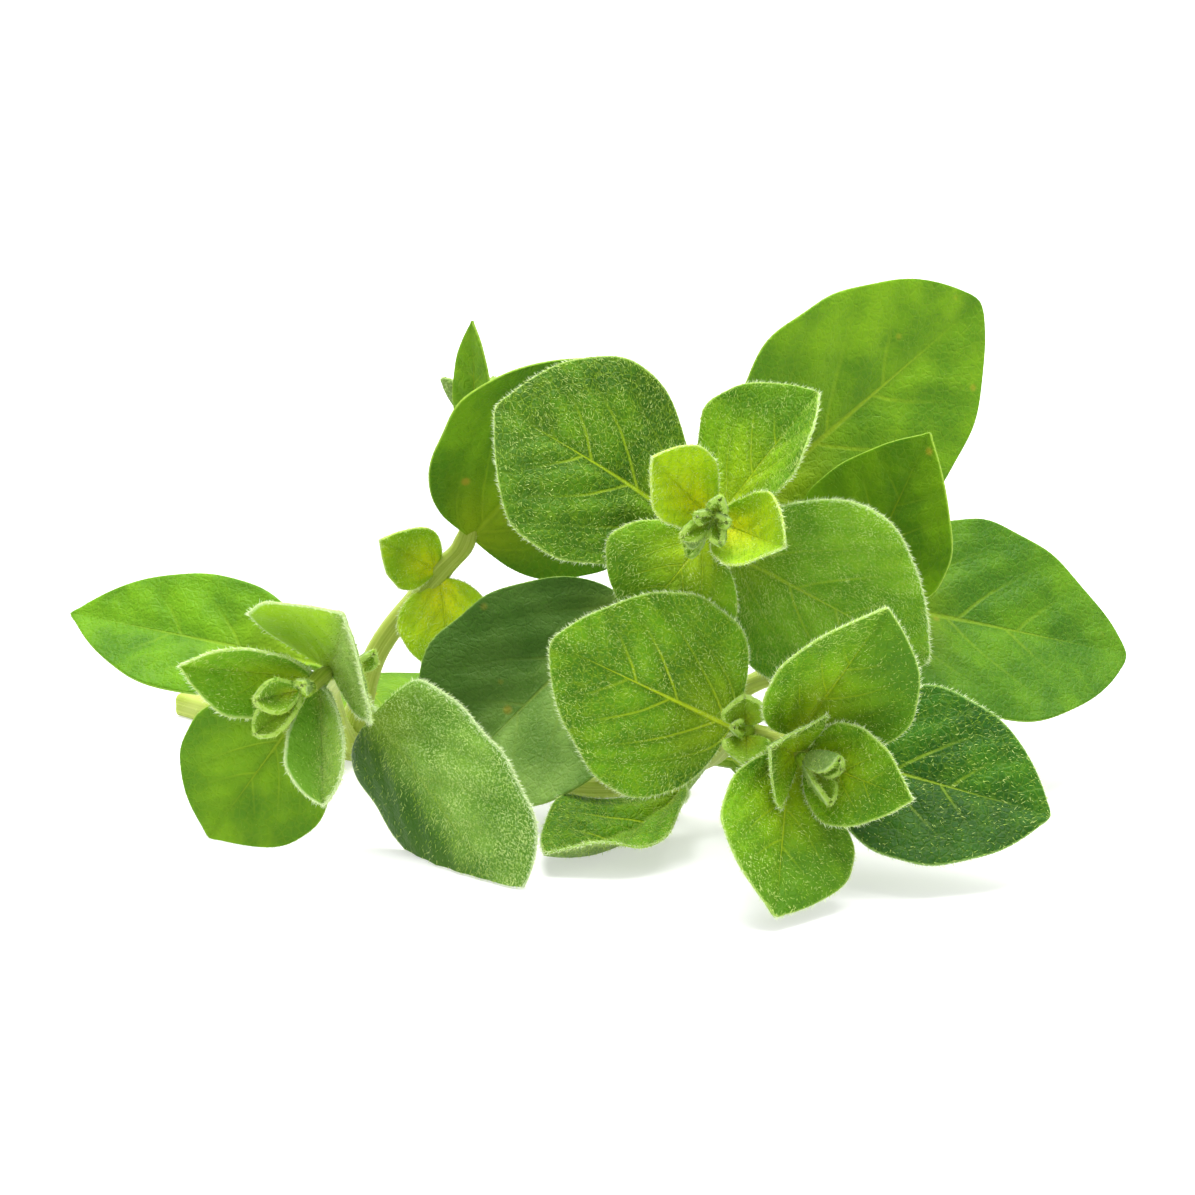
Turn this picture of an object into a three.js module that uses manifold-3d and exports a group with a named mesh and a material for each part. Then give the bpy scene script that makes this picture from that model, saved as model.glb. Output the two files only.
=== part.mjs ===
// A freshly cut top of an oregano plant, lying on a flat surface. Millimetres, +Z up.
//
// One main stem lies on the surface from its cut end, then lifts and ends in the front shoot. Side stems
// grow from it in pairs: a left shoot and a back-left shoot near the cut end, a tall centre shoot and a
// back shoot further along. Every stem carries opposite leaves, each pair turned a quarter from the last,
// and ends in a tip of small folded leaves. The lowest leaves, the tips of some others and the flat
// underside of the main stem carry the plant.

import * as THREE from "three";
import { mergeVertices } from "three/addons/utils/BufferGeometryUtils.js";
import Module from "manifold-3d";

const wasm = await Module();
wasm.setup();

// Middle of the plant's outline on the surface, in the coordinates of the stems below.
const MIDDLE = { x: 1.15, y: 11.07 };

const BLADE_THICKNESS = 0.7;
const PETIOLE_THICKNESS = 1.1;
const PETIOLE_HALF_WIDTH = 0.6;
const TIP_HALF_WIDTH = 0.3;
const SEAT_GAP = 0.3; // between a leaf's foot and its stem
const GRIDS = { 12: { across: 6, along: 7 }, 8: { across: 4, along: 6 }, 0: { across: 2, along: 4 } };
const STEM_CORNER = 0.55; // half side of the square stem's flats, as a share of its half thickness
const FINEST_DETAIL = 0.04; // slivers thinner than this are merged away
const STEM_STEP = 4; // length of stem between two rings

const COLOURS = {
  stem: { color: "#a9bd5a", roughness: 0.7, metalness: 0 },
  leaf: { color: "#5f9a2c", roughness: 0.65, metalness: 0 },
  young: { color: "#86b436", roughness: 0.6, metalness: 0 },
};

// Each stem's line, from its root to its tip, through its nodes. half is its half thickness at both ends,
// and level the direction that one pair of its flats faces.
const STEMS = {
  main: {
    half: [1.5, 0.9],
    level: [0, 0, 1],
    nodes: {
      cut_end: [-52, 46, 1.4],
      fork_left: [-30, 28, 1.4],
      rest: [-12, 17, 1.4],
      fork_right: [3, 13, 1.6],
      rise: [12.5, 4, 8],
      front_1: [16.3, -7, 14.7],
      front_2: [21, -12.5, 15.4],
      front_3: [22.3, -15.5, 14.9],
      tip: [21.9, -16.8, 15.1],
    },
  },
  centre: {
    half: [1.2, 0.75],
    level: [1, 0, 0],
    nodes: {
      root: [1.6, 14.2, 3.6],
      lower: [4.5, 22, 12],
      bend: [10, 23, 23],
      centre_0: [12.3, 15, 31.3],
      centre_1: [12.5, 6, 33.4],
      centre_2: [12.8, 0, 36.2],
      centre_3: [12.9, -4, 38.4],
      tip: [13, -6.5, 39.8],
    },
  },
  left: {
    half: [1.1, 0.7],
    level: [1, 0, 0],
    nodes: {
      root: [-30.5, 26, 3],
      lower: [-31, 14, 13],
      left_1: [-28.4, -1, 19.9],
      left_2: [-29.6, -7, 21.8],
      left_3: [-30.4, -11, 22.4],
      tip: [-31.2, -14, 22.3],
    },
  },
  back_left: {
    half: [1.6, 0.8],
    level: [0, 1, 0],
    nodes: {
      root: [-29.5, 29.5, 3.2],
      lower: [-26.5, 28.5, 13.5],
      back_left_0: [-18.8, 27.5, 23.8],
      back_left_1: [-15.8, 27.5, 27.4],
      back_left_2: [-14.5, 31, 36],
      tip: [-15, 33, 40],
    },
  },
  back: {
    half: [1.4, 0.8],
    level: [1, 0, 0],
    nodes: {
      root: [6, 14.2, 3.2],
      lower: [17.6, 19, 12],
      bend: [26, 18.5, 16],
      back_1: [29.6, 17, 23.2],
      tip: [30.6, 18, 26],
    },
  },
};

// Leaves of each node. heading is the compass course of a leaf's chord, with 0 along +X and 90 along +Y;
// rise is its slope; roll turns its face to the left of its course. length and width are the blade's. The
// angles fold, cup, bend and twist shape the blade: fold lifts both halves from the midrib, cup curls their
// margins on, bend arches the blade's length so that its tip drops from its face, and twist turns it.
// round shapes the outline's foot, point and taper its tip; wave ripples the margins.
const LEAVES = {
  centre_leaf_0_lower: {
    on: "centre.centre_0", heading: 194, rise: -42, roll: 50,
    petiole: 11.5, length: 31.6, width: 26.3, fold: 14, bend: 15, round: 0.46, point: 3.1,
  },
  centre_leaf_0_upper: {
    on: "centre.centre_0", heading: 32, rise: 31, roll: -75,
    petiole: 6.7, length: 39, width: 27.5, fold: 8, cup: -5, bend: 5, point: 1.3, taper: 0.75,
  },
  centre_leaf_1_left: {
    on: "centre.centre_1", heading: 187, rise: 34, roll: 61,
    petiole: 3, length: 26.2, width: 25, fold: 8, cup: -10, bend: 28, round: 0.61, point: 2.8, taper: 0.93,
  },
  centre_leaf_1_right: {
    on: "centre.centre_1", heading: 344, rise: -25, roll: -100,
    petiole: 3, length: 25.3, width: 26, fold: 9, cup: -26, round: 0.49, point: 2, taper: 0.89,
  },
  centre_leaf_2_upper: {
    on: "centre.centre_2", heading: 364, rise: 53, roll: -31,
    petiole: 2, length: 17.4, width: 18.3, fold: 20, cup: 5, bend: 12, round: 0.49, point: 2.3, taper: 0.89,
  },
  centre_leaf_2_lower: {
    on: "centre.centre_2", heading: 198, rise: -48, roll: 67,
    petiole: 1.5, length: 13.2, width: 16.6, fold: 2, cup: -3, bend: 66, round: 0.5, point: 2.3,
  },
  centre_leaf_3_left: {
    on: "centre.centre_3", heading: 217, rise: 44, roll: 92,
    petiole: 1, length: 11.2, width: 10, fold: 15, cup: 15, bend: -20, point: 3.4, taper: 0.8,
  },
  centre_leaf_3_right: {
    on: "centre.centre_3", heading: 303, rise: 0, roll: -52,
    petiole: 1, length: 12.3, width: 10.4, fold: 15, cup: 25, bend: -20, point: 3.2, taper: 0.8,
  },
  front_leaf_1_left: {
    on: "main.front_1", heading: 188, rise: 28, roll: 80,
    petiole: 1.9, length: 22.6, width: 23.4, fold: 6, cup: -8, bend: 5, round: 0.47, point: 0.9, taper: 0.76,
  },
  front_leaf_1_right: {
    on: "main.front_1", heading: 348, rise: -12, roll: -48,
    petiole: 8.3, length: 26.7, width: 21.3, fold: 12, cup: -7, bend: 10, round: 0.52, point: 1.9, taper: 0.89,
  },
  front_leaf_2_upper: {
    on: "main.front_2", heading: 324, rise: 55, roll: -138,
    petiole: 2, length: 19.4, width: 18.3, fold: 27, cup: -13, bend: 13, round: 0.42, point: 2.2, taper: 0.93,
  },
  front_leaf_2_lower: {
    on: "main.front_2", heading: 263, rise: -38, roll: 36,
    petiole: 1.9, length: 20.4, width: 17.2, fold: 21, cup: -29, bend: 7, round: 0.62, point: 2.3, taper: 1.02,
  },
  front_leaf_3_left: {
    on: "main.front_3", heading: 243, rise: 22, roll: 110,
    petiole: 1, length: 8.6, width: 13.2, fold: 31, bend: -50,
  },
  front_leaf_3_right: {
    on: "main.front_3", heading: 322, rise: -8, roll: -73,
    petiole: 1, length: 13.6, width: 11.6, fold: 10, cup: 10, bend: 5, point: 1.5,
  },
  left_leaf_1_left: {
    on: "left.left_1", heading: 158, rise: 5, roll: 42,
    petiole: 4, length: 31.1, width: 15.9, fold: 12, cup: -5, bend: 10, point: 2.1, taper: 0.99,
  },
  left_leaf_1_right: {
    on: "left.left_1", heading: 320, rise: -42, roll: -86,
    petiole: 6.1, length: 27, width: 20.6, fold: 4, cup: -33, round: 0.12, point: 6, taper: 0.73,
  },
  left_leaf_2_upper: {
    on: "left.left_2", heading: 281, rise: 40, roll: -130,
    petiole: 1.5, length: 14.6, width: 20.2, fold: 15, cup: 20, bend: -10,
  },
  left_leaf_2_lower: {
    on: "left.left_2", heading: 183, rise: -54, roll: 78,
    petiole: 4, length: 19.6, width: 18.4, fold: 15, cup: -5, bend: 6, round: 0.43, point: 3,
  },
  left_leaf_3_left: {
    on: "left.left_3", heading: 186, rise: 7, roll: 101,
    petiole: 1, length: 14.4, width: 10.5, fold: 32, cup: 5, point: 2.4,
  },
  left_leaf_3_lower: {
    on: "left.left_3", heading: 275, rise: -58, roll: -15,
    petiole: 1.3, length: 13, width: 9.3, fold: 38, cup: 12, point: 3.6, taper: 0.75,
  },
  back_left_leaf_0_left: {
    on: "back_left.back_left_0", heading: 222, rise: 31, roll: 100,
    petiole: 1, length: 9.6, width: 8, fold: 10, point: 1.6, young: true,
  },
  back_left_leaf_0_lower: {
    on: "back_left.back_left_0", heading: 285, rise: -64, roll: -28,
    petiole: 1, length: 12, width: 11.5, fold: 8, point: 1.9, young: true,
  },
  back_left_leaf_1_right: {
    on: "back_left.back_left_1", heading: 359, rise: 47, roll: -105,
    petiole: 1, length: 28.3, width: 30, fold: 12, cup: 10, bend: 5, round: 0.32, point: 2.7, taper: 0.83,
  },
  back_left_leaf_1_back: {
    on: "back_left.back_left_1", heading: 58, rise: 4, roll: 0,
    petiole: 3, length: 24, width: 19, fold: 8, bend: 25,
  },
  back_left_leaf_2_upper: {
    on: "back_left.back_left_2", heading: 8, rise: 91, roll: -50,
    petiole: 1.5, length: 16, width: 5.5, fold: 12,
  },
  back_left_leaf_2_back: {
    on: "back_left.back_left_2", heading: 40, rise: 20, roll: 0,
    petiole: 2, length: 14, width: 10, fold: 12, bend: 15,
  },
  back_leaf_1_lower: {
    on: "back.back_1", heading: 14, rise: -15, roll: -45,
    petiole: 2, length: 33.8, width: 26.9, fold: 8, cup: -5, bend: 8, round: 0.35, point: 1.8, taper: 0.76,
  },
  back_leaf_1_upper: {
    on: "back.back_1", heading: 332, rise: 66, roll: -90,
    petiole: 2, length: 21.1, width: 19.3, fold: 12, point: 1.1,
  },
  main_leaf_front: {
    on: "main.rise", heading: 223, rise: -12, roll: -4,
    petiole: 4.5, length: 22.3, width: 17.3, fold: 42, cup: -45, bend: -59, round: 0.7, point: 2.3, wave: 1.1, waves: 1.3, phase: 6.3,
  },
  main_leaf_right: {
    on: "main.rise", heading: 15, rise: -18, roll: -20,
    petiole: 3, length: 22, width: 16, fold: 8, bend: 10,
  },
  main_leaf_back: {
    on: "main.fork_right", heading: 95, rise: -4, roll: 0,
    petiole: 4, length: 25, width: 19, fold: 6, bend: 12,
  },
  main_leaf_far: {
    on: "main.fork_left", heading: 70, rise: 4, roll: 0,
    petiole: 4, length: 22, width: 17, fold: 6, bend: 20,
  },
};

// Buds: a small core with folded leaves round its axis, at the end of a stem, or beside one in an axil.
// facing is the axis's heading and rise; each leaf's turn is its place round the axis and open its angle
// from it.
const BUDS = {
  centre_tip: {
    on: "centre.tip", facing: [262, 0], core: 1.2,
    leaves: [
      { turn: 72, open: 40, length: 4.6, width: 3 },
      { turn: 205, open: 46, length: 4.2, width: 2.8 },
      { turn: 300, open: 30, length: 3.8, width: 2.6 },
      { turn: 145, open: 28, length: 3.6, width: 2.4 },
      { turn: 14, open: 28, length: 3.4, width: 2.4 },
    ],
  },
  front_tip: {
    on: "main.tip", facing: [302, 0], core: 0.9,
    leaves: [
      { turn: 92, open: 18, length: 6, width: 4.2, cup: 50, round: 0.4, point: 3.6, taper: 0.6 },
      { turn: 266, open: 34, length: 5.4, width: 4, cup: 50, round: 0.4, point: 3.6, taper: 0.6 },
      { turn: 0, open: 22, length: 4, width: 3.2 },
    ],
  },
  left_tip: {
    on: "left.tip", facing: [250, 8], core: 1,
    leaves: [
      { turn: 196, open: 50, length: 5.2, width: 5.2 },
      { turn: 228, open: 72, length: 6.8, width: 5 },
      { turn: 40, open: 26, length: 3.4, width: 2.4 },
    ],
  },
  centre_axil: {
    on: "centre.centre_3", beside: 0.8, facing: [210, -40], core: 0.8,
    leaves: [
      { turn: 52, open: 34, length: 2.7, width: 2.1 },
      { turn: 236, open: 27, length: 2.5, width: 2 },
    ],
  },
  front_axil: {
    on: "main.front_1", beside: 1.1, facing: [272, 24], core: 1.1,
    leaves: [
      { turn: 94, open: 56, length: 3.6, width: 6.6, fold: 18, cup: 35, round: 0.4, point: 4, taper: 0.5 },
      { turn: 268, open: 58, length: 3.8, width: 6.6, fold: 18, cup: 35, round: 0.4, point: 4, taper: 0.5 },
      { turn: 175, open: 30, length: 2.6, width: 2.6 },
    ],
  },
  left_axil: {
    on: "left.left_1", beside: 1, facing: [298, 12], core: 1,
    leaves: [
      { turn: 60, open: 40, length: 3.6, width: 3 },
      { turn: 240, open: 45, length: 3.6, width: 3 },
    ],
  },
  back_left_tip: {
    on: "back_left.tip", facing: [100, 70], core: 1.1,
    leaves: [
      { turn: 10, open: 35, length: 5, width: 3.4 },
      { turn: 190, open: 35, length: 5, width: 3.4 },
    ],
  },
  back_tip: {
    on: "back.tip", facing: [20, 35], core: 1.2,
    leaves: [
      { turn: 207, open: 42, length: 5, width: 3.6 },
      { turn: 24, open: 33, length: 4.6, width: 3.1 },
    ],
  },
};

const radians = THREE.MathUtils.degToRad;

// A closed geometry from rings of points. Every ring has the same even count, its second half running back
// over its first. The two halves are split into triangles alike, so that a thin sheet's faces don't cross.
function loft(rings) {
  const count = rings[0].length;
  const positions = rings.flat().flatMap((p) => [p.x, p.y, p.z]);
  const faces = [];
  for (let i = 0; i + 1 < rings.length; i++) {
    for (let j = 0; j < count; j++) {
      const a = i * count + j;
      const b = i * count + ((j + 1) % count);
      if (j < count / 2) faces.push(a, b, b + count, a, b + count, a + count);
      else faces.push(a, b, a + count, b, b + count, a + count);
    }
  }
  const last = (rings.length - 1) * count;
  for (let j = 0; j + 1 < count / 2; j++) {
    const across = count - 1 - j;
    faces.push(j, across - 1, j + 1, j, across, across - 1);
    faces.push(last + j, last + j + 1, last + across - 1, last + j, last + across - 1, last + across);
  }
  return new THREE.BufferGeometry()
    .setAttribute("position", new THREE.Float32BufferAttribute(positions, 3))
    .setIndex(faces);
}

function toSolid(geometry) {
  const bare = geometry.clone();
  for (const name of Object.keys(bare.attributes)) {
    if (name !== "position") bare.deleteAttribute(name);
  }
  const merged = mergeVertices(bare, 1e-4);
  return new wasm.Manifold(
    new wasm.Mesh({
      numProp: 3,
      vertProperties: merged.attributes.position.array,
      triVerts: new Uint32Array(merged.index.array),
    }),
  );
}

// The largest body of a solid as a geometry, without slivers or loose scraps of a cut.
function toGeometry(solid) {
  const bodies = solid.simplify(FINEST_DETAIL).decompose();
  const mesh = bodies.sort((a, b) => b.volume() - a.volume())[0].getMesh();
  return new THREE.BufferGeometry()
    .setAttribute("position", new THREE.BufferAttribute(mesh.vertProperties, 3))
    .setIndex(new THREE.BufferAttribute(mesh.triVerts, 1));
}

// The part of a solid that stands above the surface, with a flat where it rests.
const aboveSurface = (solid) => solid.trimByPlane([0, 0, 1], 0);

// A square stem with blunt corners along its line. swell widens it all round.
function stemSolid(stem, swell = 0) {
  const points = Object.values(stem.nodes).map((p) => new THREE.Vector3(...p));
  const line = new THREE.CatmullRomCurve3(points, false, "centripetal");
  const steps = Math.max(3, Math.round(line.getLength() / STEM_STEP));
  const level = new THREE.Vector3(...stem.level);
  const rings = [];
  for (let i = 0; i <= steps; i++) {
    const at = line.getPointAt(i / steps);
    const along = line.getTangentAt(i / steps);
    const side = new THREE.Vector3().crossVectors(level, along).normalize();
    const up = new THREE.Vector3().crossVectors(along, side);
    const half = THREE.MathUtils.lerp(...stem.half, i / steps) + swell;
    const flat = half * STEM_CORNER;
    const outline = [
      [half, -flat], [half, flat], [flat, half], [-flat, half],
      [-half, flat], [-half, -flat], [-flat, -half], [flat, -half],
    ];
    rings.push(outline.map(([s, u]) => at.clone().addScaledVector(side, s).addScaledVector(up, u)));
  }
  return toSolid(loft(rings));
}

// Half width of the blade at share t of its length, as a share of its greatest half width.
function outlineAt(t, { round = 0.5, point = 2, taper = 1 }) {
  const shape = (u) => u ** round * (1 - u ** point) ** taper;
  const widest = (round / (round + taper * point)) ** (1 / point);
  return shape(t) / shape(widest);
}

// Sideways and upward reach of a blade's half at share q of its half width, for its fold and cup.
function crossReach(q, fold, cup) {
  if (Math.abs(cup) < 1e-3) return [q * Math.cos(fold), q * Math.sin(fold)];
  return [
    (Math.sin(fold + cup * q) - Math.sin(fold)) / cup,
    (Math.cos(fold) - Math.cos(fold + cup * q)) / cup,
  ];
}

// A leaf with its foot at the origin and its chord along +X, its face up.
function leafGeometry(leaf) {
  const { petiole, length, width } = leaf;
  const [fold, cup, bend, twist] = ["fold", "cup", "bend", "twist"].map((k) => radians(leaf[k] ?? 0));
  const { wave = 0, waves = 2, phase = 0 } = leaf;
  const grid = GRIDS[[12, 8, 0].find((least) => length >= least)];
  const whole = petiole + length;
  const arch = Math.abs(bend) < 1e-3 ? 1e-3 : bend;

  const rings = [];
  const addRing = (s, halfWidth, thickness, t) => {
    const slope = arch * (0.5 - s / whole);
    const centre = new THREE.Vector3(
      (whole / arch) * (Math.sin(arch / 2) - Math.sin(slope)),
      0,
      (whole / arch) * (Math.cos(slope) - Math.cos(arch / 2)),
    );
    const along = new THREE.Vector3(Math.cos(slope), 0, Math.sin(slope));
    const turn = twist * (s / whole - 0.5);
    const side = new THREE.Vector3(0, 1, 0).applyAxisAngle(along, turn);
    const up = new THREE.Vector3().crossVectors(along, side);
    const upper = [];
    const lower = [];
    for (let j = 0; j <= grid.across; j++) {
      const q = (2 * j) / grid.across - 1;
      const [reach, lift] = crossReach(Math.abs(q), fold, cup);
      const ripple = wave * q * q * Math.sin(2 * Math.PI * waves * t + phase + (q < 0 ? Math.PI : 0));
      const lean = Math.sign(q) * (fold + cup * Math.abs(q)) * Math.min(1, halfWidth / (2 * thickness));
      const middle = centre
        .clone()
        .addScaledVector(side, Math.sign(q) * reach * halfWidth)
        .addScaledVector(up, lift * halfWidth + (ripple * halfWidth) / (width / 2));
      const normal = up.clone().multiplyScalar(Math.cos(lean)).addScaledVector(side, -Math.sin(lean));
      upper.push(middle.clone().addScaledVector(normal, thickness / 2));
      lower.push(middle.clone().addScaledVector(normal, -thickness / 2));
    }
    rings.push([...lower, ...upper.reverse()]);
  };

  addRing(0, PETIOLE_HALF_WIDTH, PETIOLE_THICKNESS, 0);
  addRing(petiole, PETIOLE_HALF_WIDTH, PETIOLE_THICKNESS, 0);
  for (let i = 1; i <= grid.along; i++) {
    const t = (1 - Math.cos((Math.PI * i) / grid.along)) / 2;
    const half = Math.max(TIP_HALF_WIDTH, (width / 2) * outlineAt(t, leaf));
    const thickness = THREE.MathUtils.lerp(PETIOLE_THICKNESS, BLADE_THICKNESS, Math.min(1, t * 5));
    addRing(petiole + t * length, half, thickness, t);
  }
  return loft(rings);
}

// The matrix that puts a leaf's foot at a point, with its heading, rise and roll.
function leafPlace(foot, { heading, rise, roll }) {
  const [course, slope, turn] = [heading, rise, roll].map(radians);
  const along = new THREE.Vector3(
    Math.cos(course) * Math.cos(slope),
    Math.sin(course) * Math.cos(slope),
    Math.sin(slope),
  );
  const side = new THREE.Vector3(-Math.sin(course), Math.cos(course), 0).applyAxisAngle(along, -turn);
  const up = new THREE.Vector3().crossVectors(along, side);
  return new THREE.Matrix4().makeBasis(along, side, up).setPosition(foot);
}

function nodePoint(name) {
  const [stem, node] = name.split(".");
  return new THREE.Vector3(...STEMS[stem].nodes[node]);
}

// A bud: its core beyond the end of its stem, and its leaves from inside the core, their faces inwards.
function budSolid({ on, beside = 0, facing, core, leaves }) {
  const [course, slope] = facing.map(radians);
  const axis = new THREE.Vector3(
    Math.cos(course) * Math.cos(slope),
    Math.sin(course) * Math.cos(slope),
    Math.sin(slope),
  );
  const level = new THREE.Vector3(-Math.sin(course), Math.cos(course), 0);
  const upright = new THREE.Vector3().crossVectors(axis, level);
  const centre = nodePoint(on).addScaledVector(axis, core + SEAT_GAP + beside);
  let solid = toSolid(new THREE.IcosahedronGeometry(core, 0).translate(...centre.toArray()));
  for (const leaf of leaves) {
    const turn = radians(leaf.turn);
    const open = radians(leaf.open);
    const out = level.clone().multiplyScalar(Math.cos(turn)).addScaledVector(upright, Math.sin(turn));
    const along = axis.clone().multiplyScalar(Math.cos(open)).addScaledVector(out, Math.sin(open));
    const up = axis.clone().multiplyScalar(Math.sin(open)).addScaledVector(out, -Math.cos(open));
    const side = new THREE.Vector3().crossVectors(up, along);
    const place = new THREE.Matrix4().makeBasis(along, side, up).setPosition(centre);
    const shape = { petiole: 0.8, fold: 25, cup: 40, bend: -30, point: 3.2, taper: 0.7, ...leaf };
    solid = solid.add(toSolid(leafGeometry(shape).applyMatrix4(place)));
  }
  return solid;
}

const plant = new THREE.Group();
plant.position.set(-MIDDLE.x, -MIDDLE.y, 0);

function addNode(name, solid, finish) {
  const mesh = new THREE.Mesh(toGeometry(solid), new THREE.MeshStandardMaterial(COLOURS[finish]));
  mesh.name = name;
  plant.add(mesh);
}

const swollen = Object.fromEntries(
  Object.entries(STEMS).map(([name, stem]) => [name, stemSolid(stem, SEAT_GAP)]),
);
for (const [name, stem] of Object.entries(STEMS)) {
  let solid = aboveSurface(stemSolid(stem));
  if (name !== "main") solid = solid.subtract(swollen.main);
  addNode(`${name}_stem`, solid, "stem");
}

for (const [name, bud] of Object.entries(BUDS)) {
  addNode(name, aboveSurface(budSolid(bud)).subtract(swollen[bud.on.split(".")[0]]), "young");
}

for (const [name, leaf] of Object.entries(LEAVES)) {
  const placed = leafGeometry(leaf).applyMatrix4(leafPlace(nodePoint(leaf.on), leaf));
  const stem = leaf.on.split(".")[0];
  const solid = aboveSurface(toSolid(placed)).subtract(swollen[stem]);
  addNode(name, solid, leaf.young ? "young" : "leaf");
}

export default plant;
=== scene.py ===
"""Looks for the oregano cutting: finer leaves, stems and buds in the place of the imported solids, with
their veins, hairs and colours, on a pale floor in soft light. Sizes are in millimetres unless said."""

import functools
import math

import bmesh
import bpy
import numpy as np
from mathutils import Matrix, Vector


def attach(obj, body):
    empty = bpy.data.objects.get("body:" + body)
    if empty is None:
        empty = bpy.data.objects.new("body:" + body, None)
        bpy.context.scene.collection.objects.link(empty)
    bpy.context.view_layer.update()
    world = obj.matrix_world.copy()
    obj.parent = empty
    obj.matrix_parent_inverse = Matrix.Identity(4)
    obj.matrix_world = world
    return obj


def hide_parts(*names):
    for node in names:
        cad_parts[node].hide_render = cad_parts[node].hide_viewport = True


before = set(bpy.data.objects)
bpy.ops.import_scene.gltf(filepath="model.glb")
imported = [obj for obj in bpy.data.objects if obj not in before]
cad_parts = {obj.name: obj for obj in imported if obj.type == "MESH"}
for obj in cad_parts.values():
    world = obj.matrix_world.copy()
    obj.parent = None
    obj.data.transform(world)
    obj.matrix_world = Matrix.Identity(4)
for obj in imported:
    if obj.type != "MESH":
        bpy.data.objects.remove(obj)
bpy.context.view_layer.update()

MM = 0.001
MIDDLE = np.array([1.15, 11.07, 0.0])  # taken off every point, as in the CAD source

# The plant's own sizes, as in the CAD source.
STEMS = {
    "main": dict(
        half=(1.5, 0.9), level=(0, 0, 1),
        nodes=dict(cut_end=(-52, 46, 1.4), fork_left=(-30, 28, 1.4), rest=(-12, 17, 1.4),
                   fork_right=(3, 13, 1.6), rise=(12.5, 4, 8), front_1=(16.3, -7, 14.7),
                   front_2=(21, -12.5, 15.4), front_3=(22.3, -15.5, 14.9), tip=(21.9, -16.8, 15.1)),
    ),
    "centre": dict(
        half=(1.2, 0.75), level=(1, 0, 0),
        nodes=dict(root=(1.6, 14.2, 3.6), lower=(4.5, 22, 12), bend=(10, 23, 23), centre_0=(12.3, 15, 31.3),
                   centre_1=(12.5, 6, 33.4), centre_2=(12.8, 0, 36.2), centre_3=(12.9, -4, 38.4),
                   tip=(13, -6.5, 39.8)),
    ),
    "left": dict(
        half=(1.1, 0.7), level=(1, 0, 0),
        nodes=dict(root=(-30.5, 26, 3), lower=(-31, 14, 13), left_1=(-28.4, -1, 19.9),
                   left_2=(-29.6, -7, 21.8), left_3=(-30.4, -11, 22.4), tip=(-31.2, -14, 22.3)),
    ),
    "back_left": dict(
        half=(1.6, 0.8), level=(0, 1, 0),
        nodes=dict(root=(-29.5, 29.5, 3.2), lower=(-26.5, 28.5, 13.5), back_left_0=(-18.8, 27.5, 23.8),
                   back_left_1=(-15.8, 27.5, 27.4), back_left_2=(-14.5, 31, 36), tip=(-15, 33, 40)),
    ),
    "back": dict(
        half=(1.4, 0.8), level=(1, 0, 0),
        nodes=dict(root=(6, 14.2, 3.2), lower=(17.6, 19, 12), bend=(26, 18.5, 16), back_1=(29.6, 17, 23.2),
                   tip=(30.6, 18, 26)),
    ),
}


def leaf_row(on, heading, rise, roll, petiole, length, width, **shape):
    """A leaf's node, its course in degrees, its sizes, and what shapes its blade."""
    course = dict(on=on, heading=heading, rise=rise, roll=roll)
    return {**course, "petiole": petiole, "length": length, "width": width, **shape}


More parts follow.
